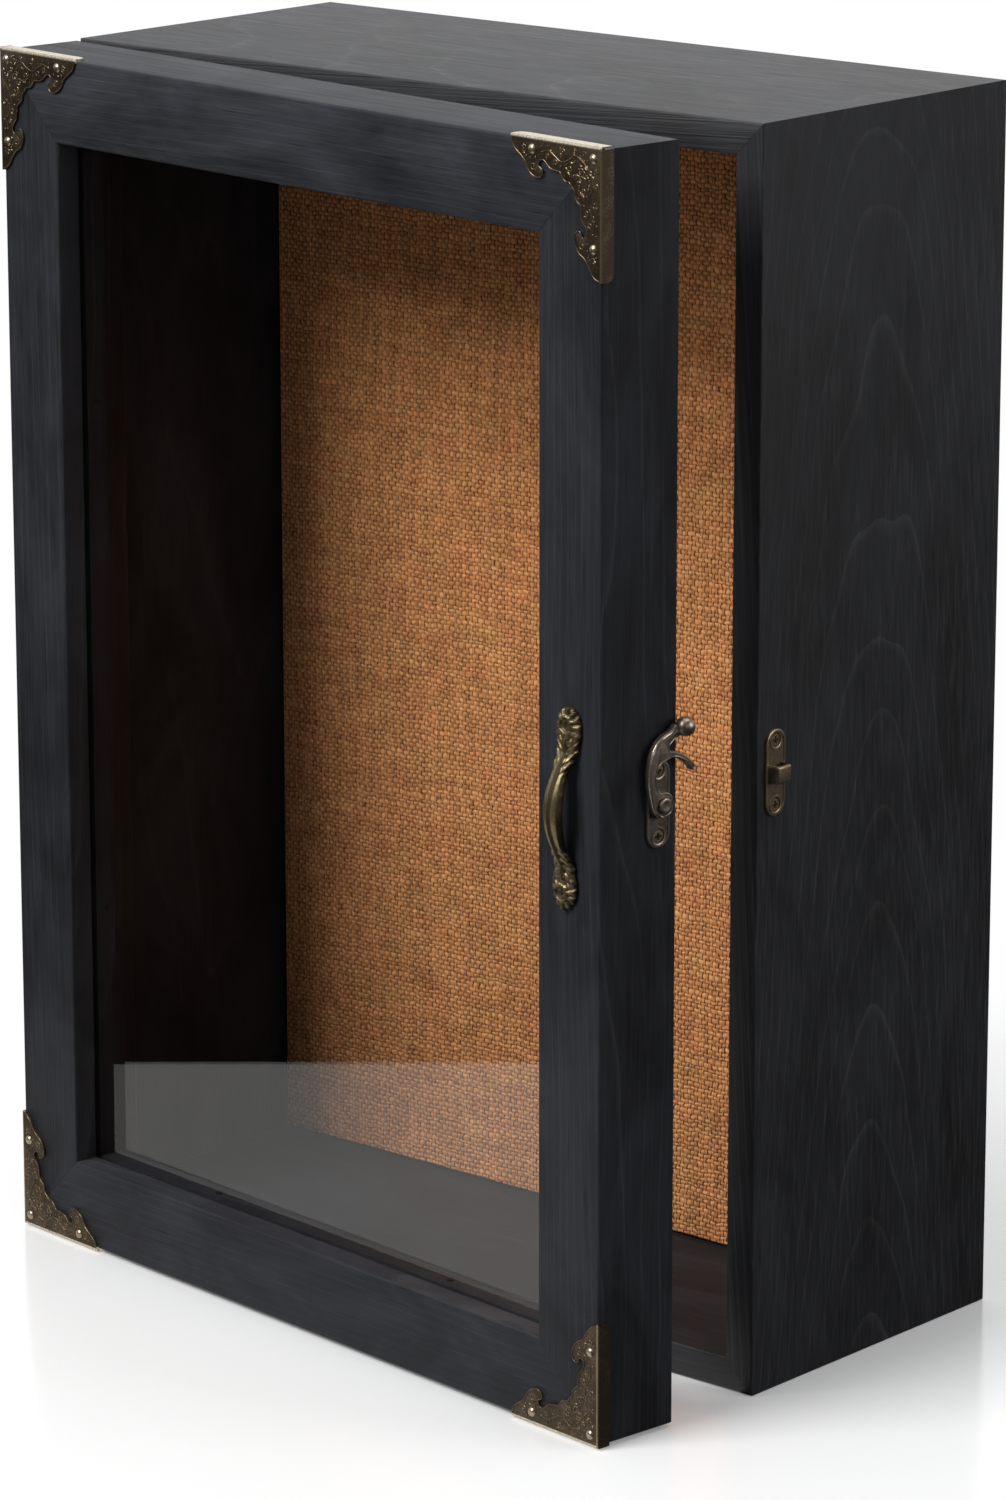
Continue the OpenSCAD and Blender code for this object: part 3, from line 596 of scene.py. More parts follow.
bracket = {
    "leg": 41, "sheet": 0.8, "lip": 4.2, "lipEnd": 2.4, "nails": [(3.1, 3.1), (31, 3.1), (3.1, 31)],
    "outline": [
        (40.9, 0.3), (40.2, 2.2), (38.6, 3.9), (36.4, 5.4), (34.6, 7.0), (33.3, 9.3), (31.3, 11.0),
        (28.9, 11.7), (27.0, 11.0), (26.4, 9.6), (27.2, 8.6), (28.2, 8.0), (28.0, 6.6), (26.8, 5.8),
        (25.2, 6.3), (22.9, 8.1), (20.6, 8.6), (18.5, 8.9), (17.4, 10.3), (16.0, 11.5), (14.2, 11.8),
        (13.0, 13.0),
    ],
    "stem": [
        (5.6, 6.4), (8.2, 4.2), (11.4, 3.0), (14.4, 4.6), (17.4, 5.6), (20.4, 4.2), (23.2, 2.8), (26.2, 3.4),
    ],
    "curls": [
        (8.7, 7.6, 1.9, 1, 0.4), (13.6, 7.6, 1.7, -1, 2.2), (17.2, 2.6, 1.3, 1, 3.6),
        (20.2, 6.2, 1.25, -1, 0.9), (24.0, 4.6, 1.0, 1, 2.0), (11.6, 1.7, 0.9, -1, 5.0),
        (34.6, 3.0, 1.3, 1, 1.0), (30.4, 8.2, 1.5, -1, 3.0),
    ],
    "curlSteps": 18, "curlTurn": 7.2, "curlNarrows": 0.82, "bead": 0.2, "beadInset": 0.35, "vine": 0.17,
    "leaves": 64, "leafAlong": (1.4, 38), "leafAcross": (1.2, 12), "leafSize": (0.32, 0.6), "nailRoom": 2.3,
    "rimRoom": 1.3,
    # wear, and on the top lip a painted highlight
    "wearAndHighlight": {
        "sheet": 0.08, "bead": 0.28, "stem": 0.32, "curl": 0.5, "leaf": 0.5, "lip": 1.0, "sideFold": 0.85,
    },
}


def bracketEdge():
    half = bracket["outline"]
    return half + [(b, a) for a, b in reversed(half)]


def bracketOutline():
    return [(0.0, 0.0), (bracket["leg"], 0.0)] + bracketEdge() + [(0.0, bracket["leg"])]


def insideBracket(outline, a, b, margin):
    inside = False
    for (x0, y0), (x1, y1) in zip(outline, outline[1:] + outline[:1]):
        if (y0 > b) != (y1 > b) and a < (x1 - x0) * (b - y0) / (y1 - y0) + x0:
            inside = not inside
        if math.hypot(a - x0, b - y0) < margin:
            return False
    return inside


def addLeaf(bm, a, b, height, size, angle):
    made = bmesh.ops.create_icosphere(bm, subdivisions=1, radius=size)
    turn = Matrix.Rotation(angle, 4, "Z") @ Matrix.Diagonal((1.0, 0.45, 0.5, 1))
    bmesh.ops.transform(bm, matrix=Matrix.Translation((a, b, height)) @ turn, verts=made["verts"])
    markWearAndHighlight(bm, made["verts"], bracket["wearAndHighlight"]["leaf"])


swapAxes = Matrix(((0, 1, 0, 0), (1, 0, 0, 0), (0, 0, 1, 0), (0, 0, 0, 1)))


# The lip that is folded over the door's edge, with a round end
def foldLip(bm, swap):
    sheet, reach, deep, end = bracket["sheet"], bracket["leg"], bracket["lip"], bracket["lipEnd"]
    flat = [
        (-sheet, -deep), (reach - end, -deep), (reach - end * 0.3, -deep + end * 0.35), (reach, -deep + end),
        (reach, sheet * 0.4), (-sheet, sheet * 0.4),
    ]
    lip = bm.faces.new([bm.verts.new((a, -sheet, height)) for a, height in flat])
    outer = raiseFace(bm, lip, (0, sheet, 0))
    body = each(vert for face in (lip, outer) for vert in face.verts)
    fold = bmesh.ops.create_cone(
        bm, cap_ends=True, segments=16, radius1=sheet, radius2=sheet, depth=reach + sheet * 0.5
    )["verts"]
    bmesh.ops.rotate(bm, matrix=Matrix.Rotation(math.radians(90), 3, "Y"), verts=fold)
    bmesh.ops.translate(bm, vec=(reach / 2 - sheet * 0.25, 0, 0), verts=fold)
    # the lip on top is painted pale all over, partly rubbed wear and partly a painted highlight, the one at
    # the side only along its fold
    markWearAndHighlight(bm, body, 0.0 if swap else bracket["wearAndHighlight"]["lip"])
    markWearAndHighlight(bm, fold, bracket["wearAndHighlight"]["sideFold" if swap else "lip"])
    if swap:
        bmesh.ops.transform(bm, matrix=swapAxes, verts=body + fold)


def addVine(bm, swap):
    def onSheet(x, y):
        return Vector((y, x, bracket["sheet"]) if swap else (x, y, bracket["sheet"]))

    stem = [onSheet(point.x, point.y) for point in curvePoints(bracket["stem"], resolution=5)]
    addTube(bm, stem, bracket["vine"], bracket["wearAndHighlight"]["stem"])
    for a, b, size, way, start in bracket["curls"]:
        path, radii = [], []
        for step in range(bracket["curlSteps"] + 1):
            t = step / bracket["curlSteps"]
            angle = start + way * t * bracket["curlTurn"]
            reach = size * (1 - bracket["curlNarrows"] * t)
            path.append(onSheet(a + reach * math.cos(angle), b + reach * math.sin(angle)))
            radii.append(bracket["vine"] * (0.75 + 0.35 * t))
        addTube(bm, path, radii, bracket["wearAndHighlight"]["curl"])


def addLeaves(bm, outline):
    sheet = bracket["sheet"]
    drawn = random.Random(11)
    placed = 0
    while placed < bracket["leaves"]:
        a, b = drawn.uniform(*bracket["leafAlong"]), drawn.uniform(*bracket["leafAcross"])
        size, angle = drawn.uniform(*bracket["leafSize"]), drawn.uniform(0, math.pi)
        nearNail = any(math.hypot(a - x, b - y) < bracket["nailRoom"] for x, y in bracket["nails"])
        if nearNail or not insideBracket(outline, a, b, bracket["rimRoom"]):
            continue
        addLeaf(bm, a, b, sheet, size, angle)
        addLeaf(bm, b, a, sheet, size, math.pi / 2 - angle)
        placed += 1


def pressedBracket():
    bm = emptyMesh()
    outline = bracketOutline()
    sheet = bracket["sheet"]
    face = bm.faces.new([bm.verts.new((a, b, 0)) for a, b in outline])
    top = raiseFace(bm, face, (0, 0, sheet))
    ease(bm, list(top.edges), 0.2, 2)
    markWearAndHighlight(bm, bm.verts, bracket["wearAndHighlight"]["sheet"])
    for swap in (False, True):
        foldLip(bm, swap)
    rim = [Vector((point.x, point.y, sheet)) for point in curvePoints(bracketEdge(), resolution=4)]
    middle = Vector((9, 9, sheet))
    inward = [point + (middle - point).normalized() * bracket["beadInset"] for point in rim]
    addTube(bm, inward, bracket["bead"], bracket["wearAndHighlight"]["bead"])
    for swap in (False, True):
        addVine(bm, swap)
    addLeaves(bm, outline)
    return bm


def cornerSpots():
    for right in (False, True):
        for top in (False, True):
            yield right, top


def placeAtCorner(bm, right, top, verts=None):
    side, up = (1 if right else -1), (1 if top else -1)
    corner = Vector((side * halfWidth, door["front"], door["top"] if top else door["bottom"]))
    placeOnto(bm, corner, Vector((-side, 0, 0)), Vector((0, 0, -up)), frontward, verts)


for right, top in cornerSpots():
    bm = pressedBracket()
    placeAtCorner(bm, right, top)
    name = "bracket_" + ("top_" if top else "bottom_") + ("right" if right else "left")
    makePiece("pressed_" + name, bm, finishes["bracket"], "door", [name], onDoor=True)
print("brackets are pressed")


# Nails and screws

nail = {"shank": 0.7, "length": 9, "head": 1.6, "crown": 0.85}
screw = {"shank": 1.0, "length": 9, "head": 2.1, "recess": 0.7, "rimDrop": 0.05, "wide": 0.66, "slim": 0.2}


# Turn a half profile round the Z axis
def spunProfile(bm, points, steps):
    verts = [bm.verts.new((radius, 0, height)) for radius, height in points]
    edges = [bm.edges.new(pair) for pair in zip(verts, verts[1:])]
    bmesh.ops.spin(
        bm, geom=verts + edges, cent=(0, 0, 0), axis=(0, 0, 1), dvec=(0, 0, 0), angle=2 * math.pi,
        steps=steps, use_merge=True, use_duplicate=False,
    )


def domedNail(bm, shank, length, head, crown):
    before = set(bm.verts)
    points = [
        (0.0, crown), (head * 0.35, crown * 0.93), (head * 0.65, crown * 0.72), (head * 0.88, crown * 0.38),
        (head, 0.05), (head * 0.96, 0.0), (shank, 0.0), (shank, -length * 0.8), (0.0, -length),
    ]
    spunProfile(bm, points, 20)
    bmesh.ops.remove_doubles(bm, verts=[v for v in bm.verts if v not in before], dist=1e-4)
    fresh = [v for v in bm.verts if v not in before]
    markWearAndHighlight(bm, fresh, 0.8)
    return fresh


def edgesAt(bm, height, faceCount):
    return [
        edge for edge in bm.edges
        if len(edge.link_faces) == faceCount and all(abs(vert.co.z - height) < 1e-6 for vert in edge.verts)
    ]


# Countersunk screw with a cross recess, its head's top at zero
def crossScrew(bm, shank, length, head, wearAndHighlight):
    rimHeight = -screw["rimDrop"]
    points = [(head, rimHeight), (shank, shank - head), (shank, -length * 0.8), (0.0, -length)]
    spunProfile(bm, points, 24)
    bmesh.ops.remove_doubles(bm, verts=bm.verts, dist=1e-4)
    wide, slim = head * screw["wide"], head * screw["slim"]
    cross = []
    for x, y in ((1, 0), (0, 1), (-1, 0), (0, -1)):
        # one arm's two tips, then the corner before the next arm
        cross += [
            (wide * x + slim * y, wide * y - slim * x), (wide * x - slim * y, wide * y + slim * x),
            (slim * (x - y), slim * (y + x)),
        ]
    inner = [bm.verts.new((x, y, 0)) for x, y in cross]
    edges = [bm.edges.new((a, b)) for a, b in zip(inner, inner[1:] + inner[:1])]
    bmesh.ops.subdivide_edges(bm, edges=edges, cuts=1)
    mouth = edgesAt(bm, 0.0, 0)
    bmesh.ops.bridge_loops(bm, edges=mouth + edgesAt(bm, rimHeight, 1))
    pit = bmesh.ops.edgeloop_fill(bm, edges=mouth)["faces"][0]
    sunk = raiseFace(bm, pit, (0, 0, -screw["recess"]))
    bmesh.ops.delete(bm, geom=[pit], context="FACES_ONLY")  # or it would lie over the recess like a lid
    bmesh.ops.scale(bm, vec=(0.55, 0.55, 1), verts=list(sunk.verts))
    markWearAndHighlight(bm, bm.verts, wearAndHighlight)
    markWearAndHighlight(bm, sunk.verts, 0.0)


# Move a screw to one end of its plate and copy it to the other
def atBothEnds(bm, apart, height):
    bmesh.ops.translate(bm, vec=(0, -apart, height), verts=bm.verts)
    second = bmesh.ops.duplicate(bm, geom=bm.verts[:] + bm.edges[:] + bm.faces[:])
    bmesh.ops.translate(bm, vec=(0, 2 * apart, 0), verts=madeOf(second, bmesh.types.BMVert))


def bracketNails():
    bm = emptyMesh()
    for right, top in cornerSpots():
        fresh = []
        for a, b in bracket["nails"]:
            verts = domedNail(bm, nail["shank"], nail["length"], nail["head"], nail["crown"])
            bmesh.ops.translate(bm, vec=(a, b, bracket["sheet"]), verts=verts)
            fresh += verts
        placeAtCorner(bm, right, top, fresh)
    makePiece("domed_nails", bm, finishes["nail"], "door", ["bracket_nails"], onDoor=True)


bracketNails()
print("nails are in")


# Handle with fluted shells at its ends

handle = {
    "x": 135.5, "length": 66, "screwAt": 27.4, "arch": 18.6, "lift": 5.6, "edge": 1.7, "flutes": 11,
    "rings": 300, "sides": 64, "tilt": math.radians(2),
    "halfWidths": [
        (0, 3.7), (5, 3.55), (9, 3.15), (11.5, 2.9), (13.2, 3.0), (14.6, 3.7), (15.8, 4.1), (16.8, 3.6),
        (17.8, 4.2), (19.2, 4.9), (20.4, 4.4), (21.4, 4.9), (23.2, 5.4), (25.5, 5.6), (28.0, 5.45),
        (30.0, 4.75), (31.6, 3.5), (32.5, 2.2), (33.0, 0.9),
    ],
    "ribAt": 0.3, "seatRing": 2.7, "seatDish": 0.85, "veinPitch": 2.7, "veinDepth": 0.6, "fluteDepth": 0.75,
    "pin": {"shank": 1.3, "length": 16, "head": 1.85, "wearAndHighlight": 0.6, "height": 2.1},
}


def smoothly(low, high, value):
    t = max(0.0, min(1.0, (value - low) / (high - low)))
    return t * t * (3 - 2 * t)


def ridge(value, middle, width):
    return math.exp(-((value - middle) / width) ** 2)


def handleHalfWidth(s):
    s = abs(s)
    knots = handle["halfWidths"]
    for (s0, w0), (s1, w1) in zip(knots, knots[1:]):
        if s <= s1:
            return w0 + (w1 - w0) * smoothly(s0, s1, s)
    return knots[-1][1]


# Bottom and top over the door at a place along and across the handle
def handleHeights(s, across):
    away = abs(s)
    lift = math.cos(min(1.0, away / handle["arch"]) * math.pi / 2)
    half = handleHalfWidth(s)
    side = across * half
    bottom = handle["lift"] * lift
    rim = bottom + handle["edge"] - 0.5 * (1 - lift) * min(1, max(0, (away - 24) / 9))
    crown = (1.15 + 1.1 * lift) * math.sqrt(max(0.0, 1 - across ** 2))
    inner = 1 - smoothly(18, 21, away)
    bead = 0.3 * ridge(abs(across), 0.82, 0.08) * inner
    # a rib runs from shell to shell with a groove on both its sides
    rib = 0.55 * ridge(side, handle["ribAt"], 0.42) - 0.3 * ridge(abs(side - handle["ribAt"]), 1.1, 0.4)
    rib *= 1 - smoothly(22.5, 24.5, away)
    # veins slant away from the rib where the grip opens into leaves
    leafy = smoothly(11, 14, away) * (1 - smoothly(23, 25.5, away)) * smoothly(0.9, 1.7, abs(side))
    wave = 0.5 + 0.5 * math.cos((away - 0.8 * abs(side)) * math.tau / handle["veinPitch"])
    vein = -handle["veinDepth"] * leafy * wave ** 3
    # flutes fan out from the dished seat of the screw
    radius, angle = math.hypot(side, away - handle["screwAt"]), math.atan2(side, away - handle["screwAt"])
    fan = (0.5 - 0.5 * math.cos(angle * handle["flutes"])) ** 2
    flute = -handle["fluteDepth"] * smoothly(21, 25, away) * smoothly(2.4, 3.4, radius) * fan
    ring = 0.4 * ridge(radius, handle["seatRing"], 0.3)
    dish = -handle["seatDish"] * (1 - smoothly(1.9, 2.4, radius))
    return bottom, max(bottom + 0.5, rim + crown + bead + rib + vein + flute + ring + dish)


def ontoStile(bm):
    bmesh.ops.rotate(bm, matrix=Matrix.Rotation(-handle["tilt"], 3, "Z"), verts=bm.verts)
    placeOnto(bm, Vector((handle["x"], door["front"], midHeight)), rightward, upward, frontward)


def castHandle():
    bm = emptyMesh()
    layer = bm.verts.layers.float["wearAndHighlight"]
    rings, sides, half = handle["rings"], handle["sides"], handle["length"] / 2
    loop = bmesh.ops.create_circle(bm, segments=sides, radius=1, cap_ends=False)["verts"]
    edges = each(edge for vert in loop for edge in vert.link_edges)
    fresh = loop
    for _ in range(rings):
        grown = bmesh.ops.extrude_edge_only(bm, edges=edges)
        fresh = madeOf(grown, bmesh.types.BMVert)
        edges = [edge for edge in madeOf(grown, bmesh.types.BMEdge) if all(v in fresh for v in edge.verts)]
        bmesh.ops.translate(bm, vec=(0, 0, 1), verts=fresh)
    for vert in bm.verts:
        t = vert.co.z / rings  # from end to end, with the rings closer at both
        s = -half * math.cos(math.pi * t) * 0.35 + (2 * t - 1) * half * 0.65
        angle = math.atan2(vert.co.y, vert.co.x)
        across = math.cos(angle)
        width = handleHalfWidth(s)
        low, high = handleHeights(s, across)
        mid = low + (high - low) * 0.42
        if math.sin(angle) >= 0:
            height = mid + (high - mid) * math.sin(angle) ** 0.55 if math.sin(angle) > 1e-6 else mid
        else:
            height = mid - (mid - low) * min(1.0, abs(math.sin(angle)) ** 0.4)
        vert[layer] = max(0.0, min(0.88, 0.3 + 0.26 * (height - low - 2.2)))
        vert.co = (across * width, s, height)
    for ring in (loop, fresh):
        bmesh.ops.contextual_create(bm, geom=ring)
    bmesh.ops.recalc_face_normals(bm, faces=bm.faces)
    ontoStile(bm)
    makePiece(
        "cast_handle", bm, finishes["handle"], "door", ["handle"], onDoor=True, crease=60
    )


def handleScrews():
    bm = emptyMesh()
    pin = handle["pin"]
    crossScrew(bm, pin["shank"], pin["length"], pin["head"], pin["wearAndHighlight"])
    atBothEnds(bm, handle["screwAt"], pin["height"])
    ontoStile(bm)
    makePiece("handle_pins", bm, finishes["handle"], "door", ["handle_screws"], onDoor=True)


castHandle()
handleScrews()
print("handle is cast")


# Latch on the door and catch on the case, drawn flat with X towards the back and Y up

latch = {
    "y": -72.3, "plateLength": 28.8, "plateWidth": 9.6, "plate": 1.0, "screws": 10.7,
    "rivet": 1.2, "rivetHead": 2.5, "rivetDeep": 2.6, "low": 1.3, "high": 3.5,
    "ball": {"place": (8.3, 24.31, 4.0), "radius": 3.25},
    "neck": [(3.4, 21.4, 2.4), (4.6, 22.3, 2.5), (5.8, 23.0, 2.8), (7.4, 23.6, 3.4)],
    "neckRadii": [0.9, 1.15, 1.45, 1.9], "beadInset": 0.55, "bead": 0.26, "eased": 0.6, "rimLow": 0.12,
    "outline": [
        (0.0, -4.25), (-2.2, -3.6), (-4.0, -1.7), (-5.0, 1.2), (-5.9, 4.9), (-6.3, 8.5), (-6.15, 12.3),
        (-5.3, 16.1), (-3.9, 19.2), (-1.8, 21.4), (0.7, 22.7), (3.2, 23.6), (5.6, 25.2),
        (8.8, 22.6), (6.9, 21.4), (5.0, 20.6), (3.5, 19.6), (2.5, 18.5), (2.6, 17.5), (4.3, 16.85),
        (7.07, 15.89), (9.72, 14.42), (12.08, 12.51), (13.75, 10.65), (13.55, 9.85), (12.45, 9.3),
        (10.69, 11.07), (8.61, 12.76), (6.26, 14.06), (4.0, 14.7), (1.6, 14.1), (-1.2, 13.2), (-2.4, 11.9),
        (-3.1, 9.9), (-3.1, 7.7), (-2.4, 5.6), (-1.2, 4.35), (0.6, 4.2), (2.6, 3.5), (4.0, 1.8), (4.35, -0.4),
        (3.6, -2.5), (2.0, -3.85),
    ],
}
catch = {
    "y": -55.0, "loopWidth": 6.8, "loopHeight": 5.9, "metal": 0.9, "reach": 4.79, "foot": 0.6, "eased": 0.85,
}
plateRim = {"eased": 0.22, "width": 0.5, "wall": 0.22, "deep": 0.26, "holeRoom": 0.2}


# Plate with round ends, countersunk holes and a raised rim
def roundPlate(length, width, thick, wearAndHighlight):
    bm = emptyMesh()
    outline = []
    for side, turned in ((1, 0), (-1, math.pi)):
        for step in range(17):
            angle = math.pi * step / 16 + turned
            x, y = width / 2 * math.cos(angle), width / 2 * math.sin(angle)
            outline.append((x, side * (length - width) / 2 + y))
    loop = [bm.verts.new((a, b, 0)) for a, b in outline]
    edges = [bm.edges.new(pair) for pair in zip(loop, loop[1:] + loop[:1])]
    for side in (-1, 1):
        radius = screw["head"] + plateRim["holeRoom"]
        hole = bmesh.ops.create_circle(bm, segments=24, radius=radius, cap_ends=False)["verts"]
        bmesh.ops.translate(bm, vec=(0, side * latch["screws"], 0), verts=hole)
        edges += each(edge for vert in hole for edge in vert.link_edges)
    flat = bmesh.ops.triangle_fill(bm, edges=edges, use_beauty=True, use_dissolve=False)
    grown = bmesh.ops.extrude_face_region(bm, geom=madeOf(flat, bmesh.types.BMFace))
    bmesh.ops.translate(bm, vec=(0, 0, thick), verts=madeOf(grown, bmesh.types.BMVert))
    bmesh.ops.recalc_face_normals(bm, faces=bm.faces)
    nearTop = thick - 1e-4
    rim = [e for e in bm.edges if all(v.co.z > nearTop for v in e.verts) and e.calc_face_angle(0) > 1]
    ease(bm, rim, plateRim["eased"], 2)
    tops = [face for face in bm.faces if all(vert.co.z > nearTop for vert in face.verts)]
    for thickness in (plateRim["width"], plateRim["wall"]):
        bmesh.ops.inset_region(bm, faces=tops, thickness=thickness, use_even_offset=True)
    low = each(vert for face in tops for vert in face.verts)
    markWearAndHighlight(bm, bm.verts, 0.75)
    markWearAndHighlight(bm, [vert for vert in bm.verts if vert.co.z < thick * 0.5] + low, wearAndHighlight)
    bmesh.ops.translate(bm, vec=(0, 0, -plateRim["deep"]), verts=low)
    return bm


def ontoSide(bm, y):
    placeOnto(bm, Vector((halfWidth, y, midHeight)), backward, upward, rightward)


def sidePlateScrews(name, y, node, body, onDoor):
    bm = emptyMesh()
    crossScrew(bm, screw["shank"], screw["length"], screw["head"], 0.6)
    sunk = 0.35
    atBothEnds(bm, latch["screws"], latch["plate"] - sunk)
    ontoSide(bm, y)
    makePiece(name, bm, finishes["catch"], body, [node], onDoor=onDoor)


def latchPlate():
    bm = roundPlate(latch["plateLength"], latch["plateWidth"], latch["plate"], 0.12)
    ontoSide(bm, latch["y"])
    makePiece(
        "latch_back_plate", bm, finishes["latch"], "door", ["latch_plate"], onDoor=True
    )


def latchArm():
    bm = emptyMesh()
    low, high = latch["low"], latch["high"]
    path = curvePoints(latch["outline"], resolution=5, cyclic=True)
    face = bm.faces.new([bm.verts.new((point.x, point.y, low)) for point in path])
    top = raiseFace(bm, face, (0, 0, high - low - latch["rimLow"]))
    ease(bm, list(top.edges), latch["eased"], 4)
    markWearAndHighlight(bm, bm.verts, 0.3)
    # painted highlight: the arm's outer bow is painted pale
    bow = [vert for vert in bm.verts if vert.co.x < -2.0 and low + 0.3 < vert.co.z < high - 0.14]
    markWearAndHighlight(bm, bow, 1.0)
    rim = [Vector((point.x, point.y, high - 0.2)) for point in path]
    inset = []
    for index, point in enumerate(rim):
        heading = (rim[(index + 1) % len(rim)] - rim[index - 1]).normalized()
        inset.append(point + Vector((heading.y, -heading.x, 0)) * latch["beadInset"])
    addTube(bm, inset, latch["bead"], wearAndHighlight=0.75, closed=True)
    radius = latch["ball"]["radius"]
    ball = bmesh.ops.create_uvsphere(bm, u_segments=36, v_segments=20, radius=radius)["verts"]
    bmesh.ops.translate(bm, vec=latch["ball"]["place"], verts=ball)
    markWearAndHighlight(bm, ball, 0.55)
    addTube(bm, [Vector(point) for point in latch["neck"]], latch["neckRadii"], wearAndHighlight=0.5, sides=16)
    ontoSide(bm, latch["y"])
    makePiece("swing_arm", bm, finishes["latch"], "latch_arm", ["latch_arm"], onDoor=True)


def latchRivet():
    bm = emptyMesh()
    shank, head, top, deep = latch["rivet"], latch["rivetHead"], latch["high"], latch["rivetDeep"]
    points = [
        (0.0, top + 0.95), (head * 0.55, top + 0.93), (head * 0.78, top + 1.08), (head * 0.95, top + 0.9),
        (head, top + 0.5), (head * 0.97, top + 0.1), (shank, top + 0.1), (shank, -deep), (0.0, -deep - 0.2),
    ]
    spunProfile(bm, points, 32)
    bmesh.ops.remove_doubles(bm, verts=bm.verts, dist=1e-4)
    markWearAndHighlight(bm, bm.verts, 0.35)
    markWearAndHighlight(bm, [v for v in bm.verts if v.co.z > top + 0.95], 0.9)
    ontoSide(bm, latch["y"])
    makePiece("arm_rivet", bm, finishes["latch"], "door", ["latch_rivet"], onDoor=True)


def catchPlate():
    bm = roundPlate(latch["plateLength"], latch["plateWidth"], latch["plate"], 0.3)
    half, wall, reach, foot = catch["loopWidth"] / 2, catch["metal"], catch["reach"], catch["foot"]
    before = set(bm.verts)
    inner, tall = half - wall, catch["loopHeight"] / 2
    profile = [
        (-half, foot), (-half, reach), (half, reach), (half, foot), (inner, foot), (inner, reach - wall),
        (-inner, reach - wall), (-inner, foot),
    ]
    face = bm.faces.new([bm.verts.new((a, -tall, out)) for a, out in profile])
    raiseFace(bm, face, (0, 2 * tall, 0))
    loop = [vert for vert in bm.verts if vert not in before]
    outer = [
        edge for edge in bm.edges if all(vert in loop for vert in edge.verts)
        and all(abs(vert.co.x) > inner + 0.1 or vert.co.z > reach - 0.1 for vert in edge.verts)
        and not all(vert.co.z < foot + 0.1 for vert in edge.verts)
    ]
    ease(bm, outer, catch["eased"], 5)
    loop = [vert for vert in bm.verts if vert not in before]
    markWearAndHighlight(bm, loop, 0.4)
    within = [v for v in loop if abs(v.co.x) < inner + 1e-3 and v.co.z < reach - wall + 1e-3]
    markWearAndHighlight(bm, within, 0.0)
    front = [vert for vert in loop if vert.co.z > reach - 0.35]
    markWearAndHighlight(bm, [v for v in front if abs(v.co.x) > half - 0.4 or abs(v.co.y) > tall - 0.4], 0.95)
    ontoSide(bm, catch["y"])
    makePiece("catch_with_loop", bm, finishes["catch"], "case", ["catch_plate"])


latchPlate()
sidePlateScrews("latch_plate_cross_screws", latch["y"], "latch_plate_screws", "door", True)
latchArm()
latchRivet()
catchPlate()
sidePlateScrews("catch_cross_screws", catch["y"], "catch_screws", "case", False)
print("latch and catch are fitted")


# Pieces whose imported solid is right: a soft edge or only their finish

def easedCopy(node, name, finish, body, width):
    bm = emptyMesh()
    bm.from_mesh(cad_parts[node].data)
    bmesh.ops.scale(bm, vec=(1 / mm,) * 3, verts=bm.verts)
    bmesh.ops.remove_doubles(bm, verts=bm.verts, dist=1e-3)
    bmesh.ops.dissolve_limit(bm, angle_limit=math.radians(1), verts=bm.verts, edges=bm.edges)
    sharp = [e for e in bm.edges if len(e.link_faces) == 2 and e.calc_face_angle(0) > math.radians(40)
             and e.calc_length() > 4 * width and e.is_convex]
    ease(bm, sharp, width)
    makePiece(name, bm, finish, body, [node])


for side in ("top", "bottom", "left", "right"):
    easedCopy("batten_" + side, "pine_batten_" + side, finishes["pine"], "case", 0.6)

cadFinishes = {
    "pin_board_core": "fibreBoard", "back_panel": "backBoard", "back_panel_brads": "steel",
    "glass_pane": "glass", "glass_bead_brads": "darkBrad",
    "glass_bead_top": "doorLevel", "glass_bead_bottom": "doorLevel",
    "glass_bead_left": "doorUpright", "glass_bead_right": "doorUpright",
    "upper_hinge_door_leaf": "latch", "upper_hinge_case_leaf": "latch", "upper_hinge_pin": "steel",
    "lower_hinge_door_leaf": "latch", "lower_hinge_case_leaf": "latch", "lower_hinge_pin": "steel",
    "hinge_door_screws": "steel", "hinge_case_screws": "steel",
}
for node, finish in cadFinishes.items():
    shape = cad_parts[node].data
    shape.materials.clear()
    shape.materials.append(finishes[finish])
print("carried pieces have their finish")


# Stage, lights and camera

stage = {
    "size": 5.0, "below": 0.0002, "white": (0.93, 0.93, 0.93, 1), "bounce": (0.25, 0.25, 0.25, 1),
    "sheetReach": 0.36, "sheetRight": 0.145, "sheet": (0.8, 0.79, 0.78, 1), "fadeFrom": 0.17, "fadeTo": 0.38,
    "air": (0.14, 0.143, 0.15, 1), "roomDark": (0.03, 0.03, 0.033, 1), "roomPale": (0.17, 0.17, 0.175, 1),
}
black, white = (0.0, 0.0, 0.0, 1), (1, 1, 1, 1)


def glow(tree, colour):
    return addNode(tree, "ShaderNodeEmission", {"Color": colour, "Strength": 1.0}).outputs[0]


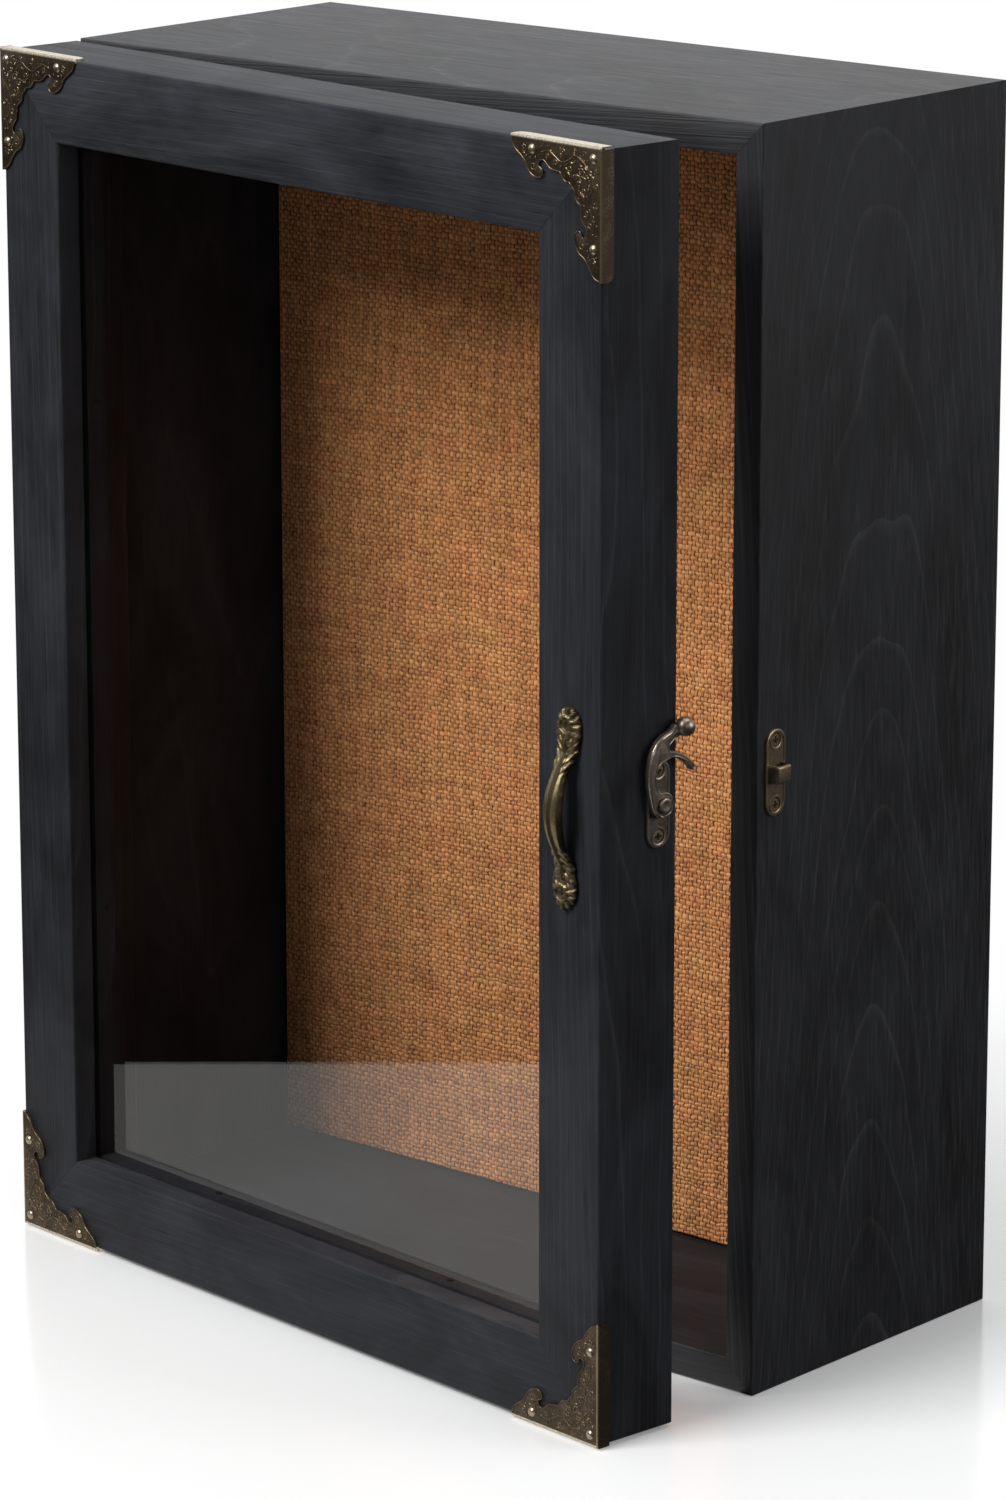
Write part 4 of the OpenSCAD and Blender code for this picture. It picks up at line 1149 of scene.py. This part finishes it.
def paleFloor():
    finish, tree = newFinish("pale_floor")
    place = onObject(tree)
    x, y, _ = axesOf(tree, place)
    ray = addNode(tree, "ShaderNodeLightPath").outputs
    # the paper throws little light back up under the object
    paper = addNode(
        tree, "ShaderNodeBsdfPrincipled",
        {"Base Color": blendColours(tree, ray["Is Diffuse Ray"], stage["white"], stage["bounce"]),
         "Roughness": spread(tree, cloud(tree, place, (40, 40, 40), 2.0), 0.3, 0.7, 0.13, 0.17),
         "Specular IOR Level": 0.9},
    )
    # metal and glass see a white sheet in front of the case and a dark room past it
    away = plus(tree, times(tree, x, -0.82), times(tree, y, -0.57))
    near = maths(tree, "LESS_THAN", away, stage["sheetReach"])
    near = times(tree, near, maths(tree, "LESS_THAN", x, stage["sheetRight"]))
    seen = glow(tree, blendColours(tree, near, black, stage["sheet"]))
    both = addNode(tree, "ShaderNodeMixShader", {0: ray["Is Glossy Ray"], 1: paper.outputs[0], 2: seen})
    # the floor fades to the white background away from the case
    out = addNode(tree, "ShaderNodeVectorMath", {0: place}, operation="LENGTH").outputs["Value"]
    faded = spread(tree, out, stage["fadeFrom"], stage["fadeTo"], 0.1, 1.0)
    fade = times(tree, faded, ray["Is Camera Ray"])
    whole = addNode(tree, "ShaderNodeMixShader", {0: fade, 1: both.outputs[0], 2: glow(tree, white)})
    addNode(tree, "ShaderNodeOutputMaterial", {"Surface": whole.outputs[0]})
    return finish


def layFloor():
    bm = emptyMesh()
    bmesh.ops.create_grid(bm, x_segments=1, y_segments=1, size=stage["size"])
    bmesh.ops.translate(bm, vec=(0, 0, -stage["below"]), verts=bm.verts)
    mesh = bpy.data.meshes.new("studio_floor")
    bm.to_mesh(mesh)
    bm.free()
    mesh.materials.append(paleFloor())
    floor = bpy.data.objects.new("studio_floor", mesh)
    scene.collection.objects.link(floor)


def setWorld():
    world = bpy.data.worlds.new("studio_air")
    world.use_nodes = True
    tree = world.node_tree
    tree.nodes.clear()
    ray = addNode(tree, "ShaderNodeLightPath").outputs
    x, y, _ = axesOf(tree, addNode(tree, "ShaderNodeTexCoord").outputs["Generated"])
    # glossy surfaces see a dark room, paler to the right, and a white wall behind on the left
    behind = spread(tree, minus(tree, y, x), 0.3, 0.95)
    toRight = plus(tree, times(tree, x, 0.65), times(tree, y, 0.76))
    room = blendColours(tree, spread(tree, toRight, 0.1, 0.8), stage["roomDark"], stage["roomPale"])
    shine = blendColours(tree, behind, room, white)
    seen = maths(tree, "MAXIMUM", ray["Is Camera Ray"], ray["Is Transmission Ray"])
    glossy = blendColours(tree, ray["Is Glossy Ray"], stage["air"], shine)
    colour = blendColours(tree, seen, glossy, white)
    air = addNode(tree, "ShaderNodeBackground", {"Color": colour, "Strength": 1.0})
    addNode(tree, "ShaderNodeOutputWorld", {"Surface": air.outputs[0]})
    scene.world = world


lamps = {
    "front_softbox": {"spot": (-0.5, -1.6, 1.6), "aim": (0, 0, 0.2), "side": 1.0, "watts": 51},
    "top_softbox": {"spot": (0.0, 0.1, 1.7), "aim": (0, 0, 0.3), "side": 1.4, "watts": 16},
    "right_fill": {"spot": (2.2, -1.1, 1.0), "aim": (0, 0, 0.25), "side": 1.2, "watts": 3},
    "side_softbox": {"spot": (2.0, 0.9, 0.9), "aim": (0, 0, 0.25), "side": 1.2, "watts": 16},
}


def addLamp(name, spot, aim, side, watts):
    lamp = bpy.data.lights.new(name, "AREA")
    lamp.shape = "RECTANGLE"
    lamp.size = lamp.size_y = side
    lamp.energy = watts
    holder = bpy.data.objects.new(name, lamp)
    holder.location = spot
    holder.rotation_euler = (Vector(aim) - Vector(spot)).to_track_quat("-Z", "Y").to_euler()
    scene.collection.objects.link(holder)


# Solved from the photograph's perspective: lens in millimetres, angles in degrees
camera = {
    "lens": 146.34, "sensor": 36, "spot": (1.3292, -1.53585, 0.70276), "azimuth": 41.158, "elevation": 14.396,
    "roll": -0.051,
}


def setCamera():
    data = bpy.data.cameras.new("photo_camera")
    data.lens = camera["lens"]
    data.sensor_width = camera["sensor"]
    data.clip_end = 50
    holder = bpy.data.objects.new("photo_camera", data)
    azimuth, elevation, roll = (math.radians(camera[key]) for key in ("azimuth", "elevation", "roll"))
    flat = math.cos(elevation)
    back = Vector((math.sin(azimuth) * flat, -math.cos(azimuth) * flat, math.sin(elevation)))
    turn = back.to_track_quat("Z", "Y").to_matrix().to_4x4()
    holder.matrix_world = Matrix.Translation(camera["spot"]) @ turn @ Matrix.Rotation(roll, 4, "Z")
    scene.collection.objects.link(holder)
    scene.camera = holder


layFloor()
setWorld()
for name, lamp in lamps.items():
    addLamp(name, **lamp)
setCamera()
scene.view_settings.view_transform = "Standard"
print("stage, lights and camera are set")
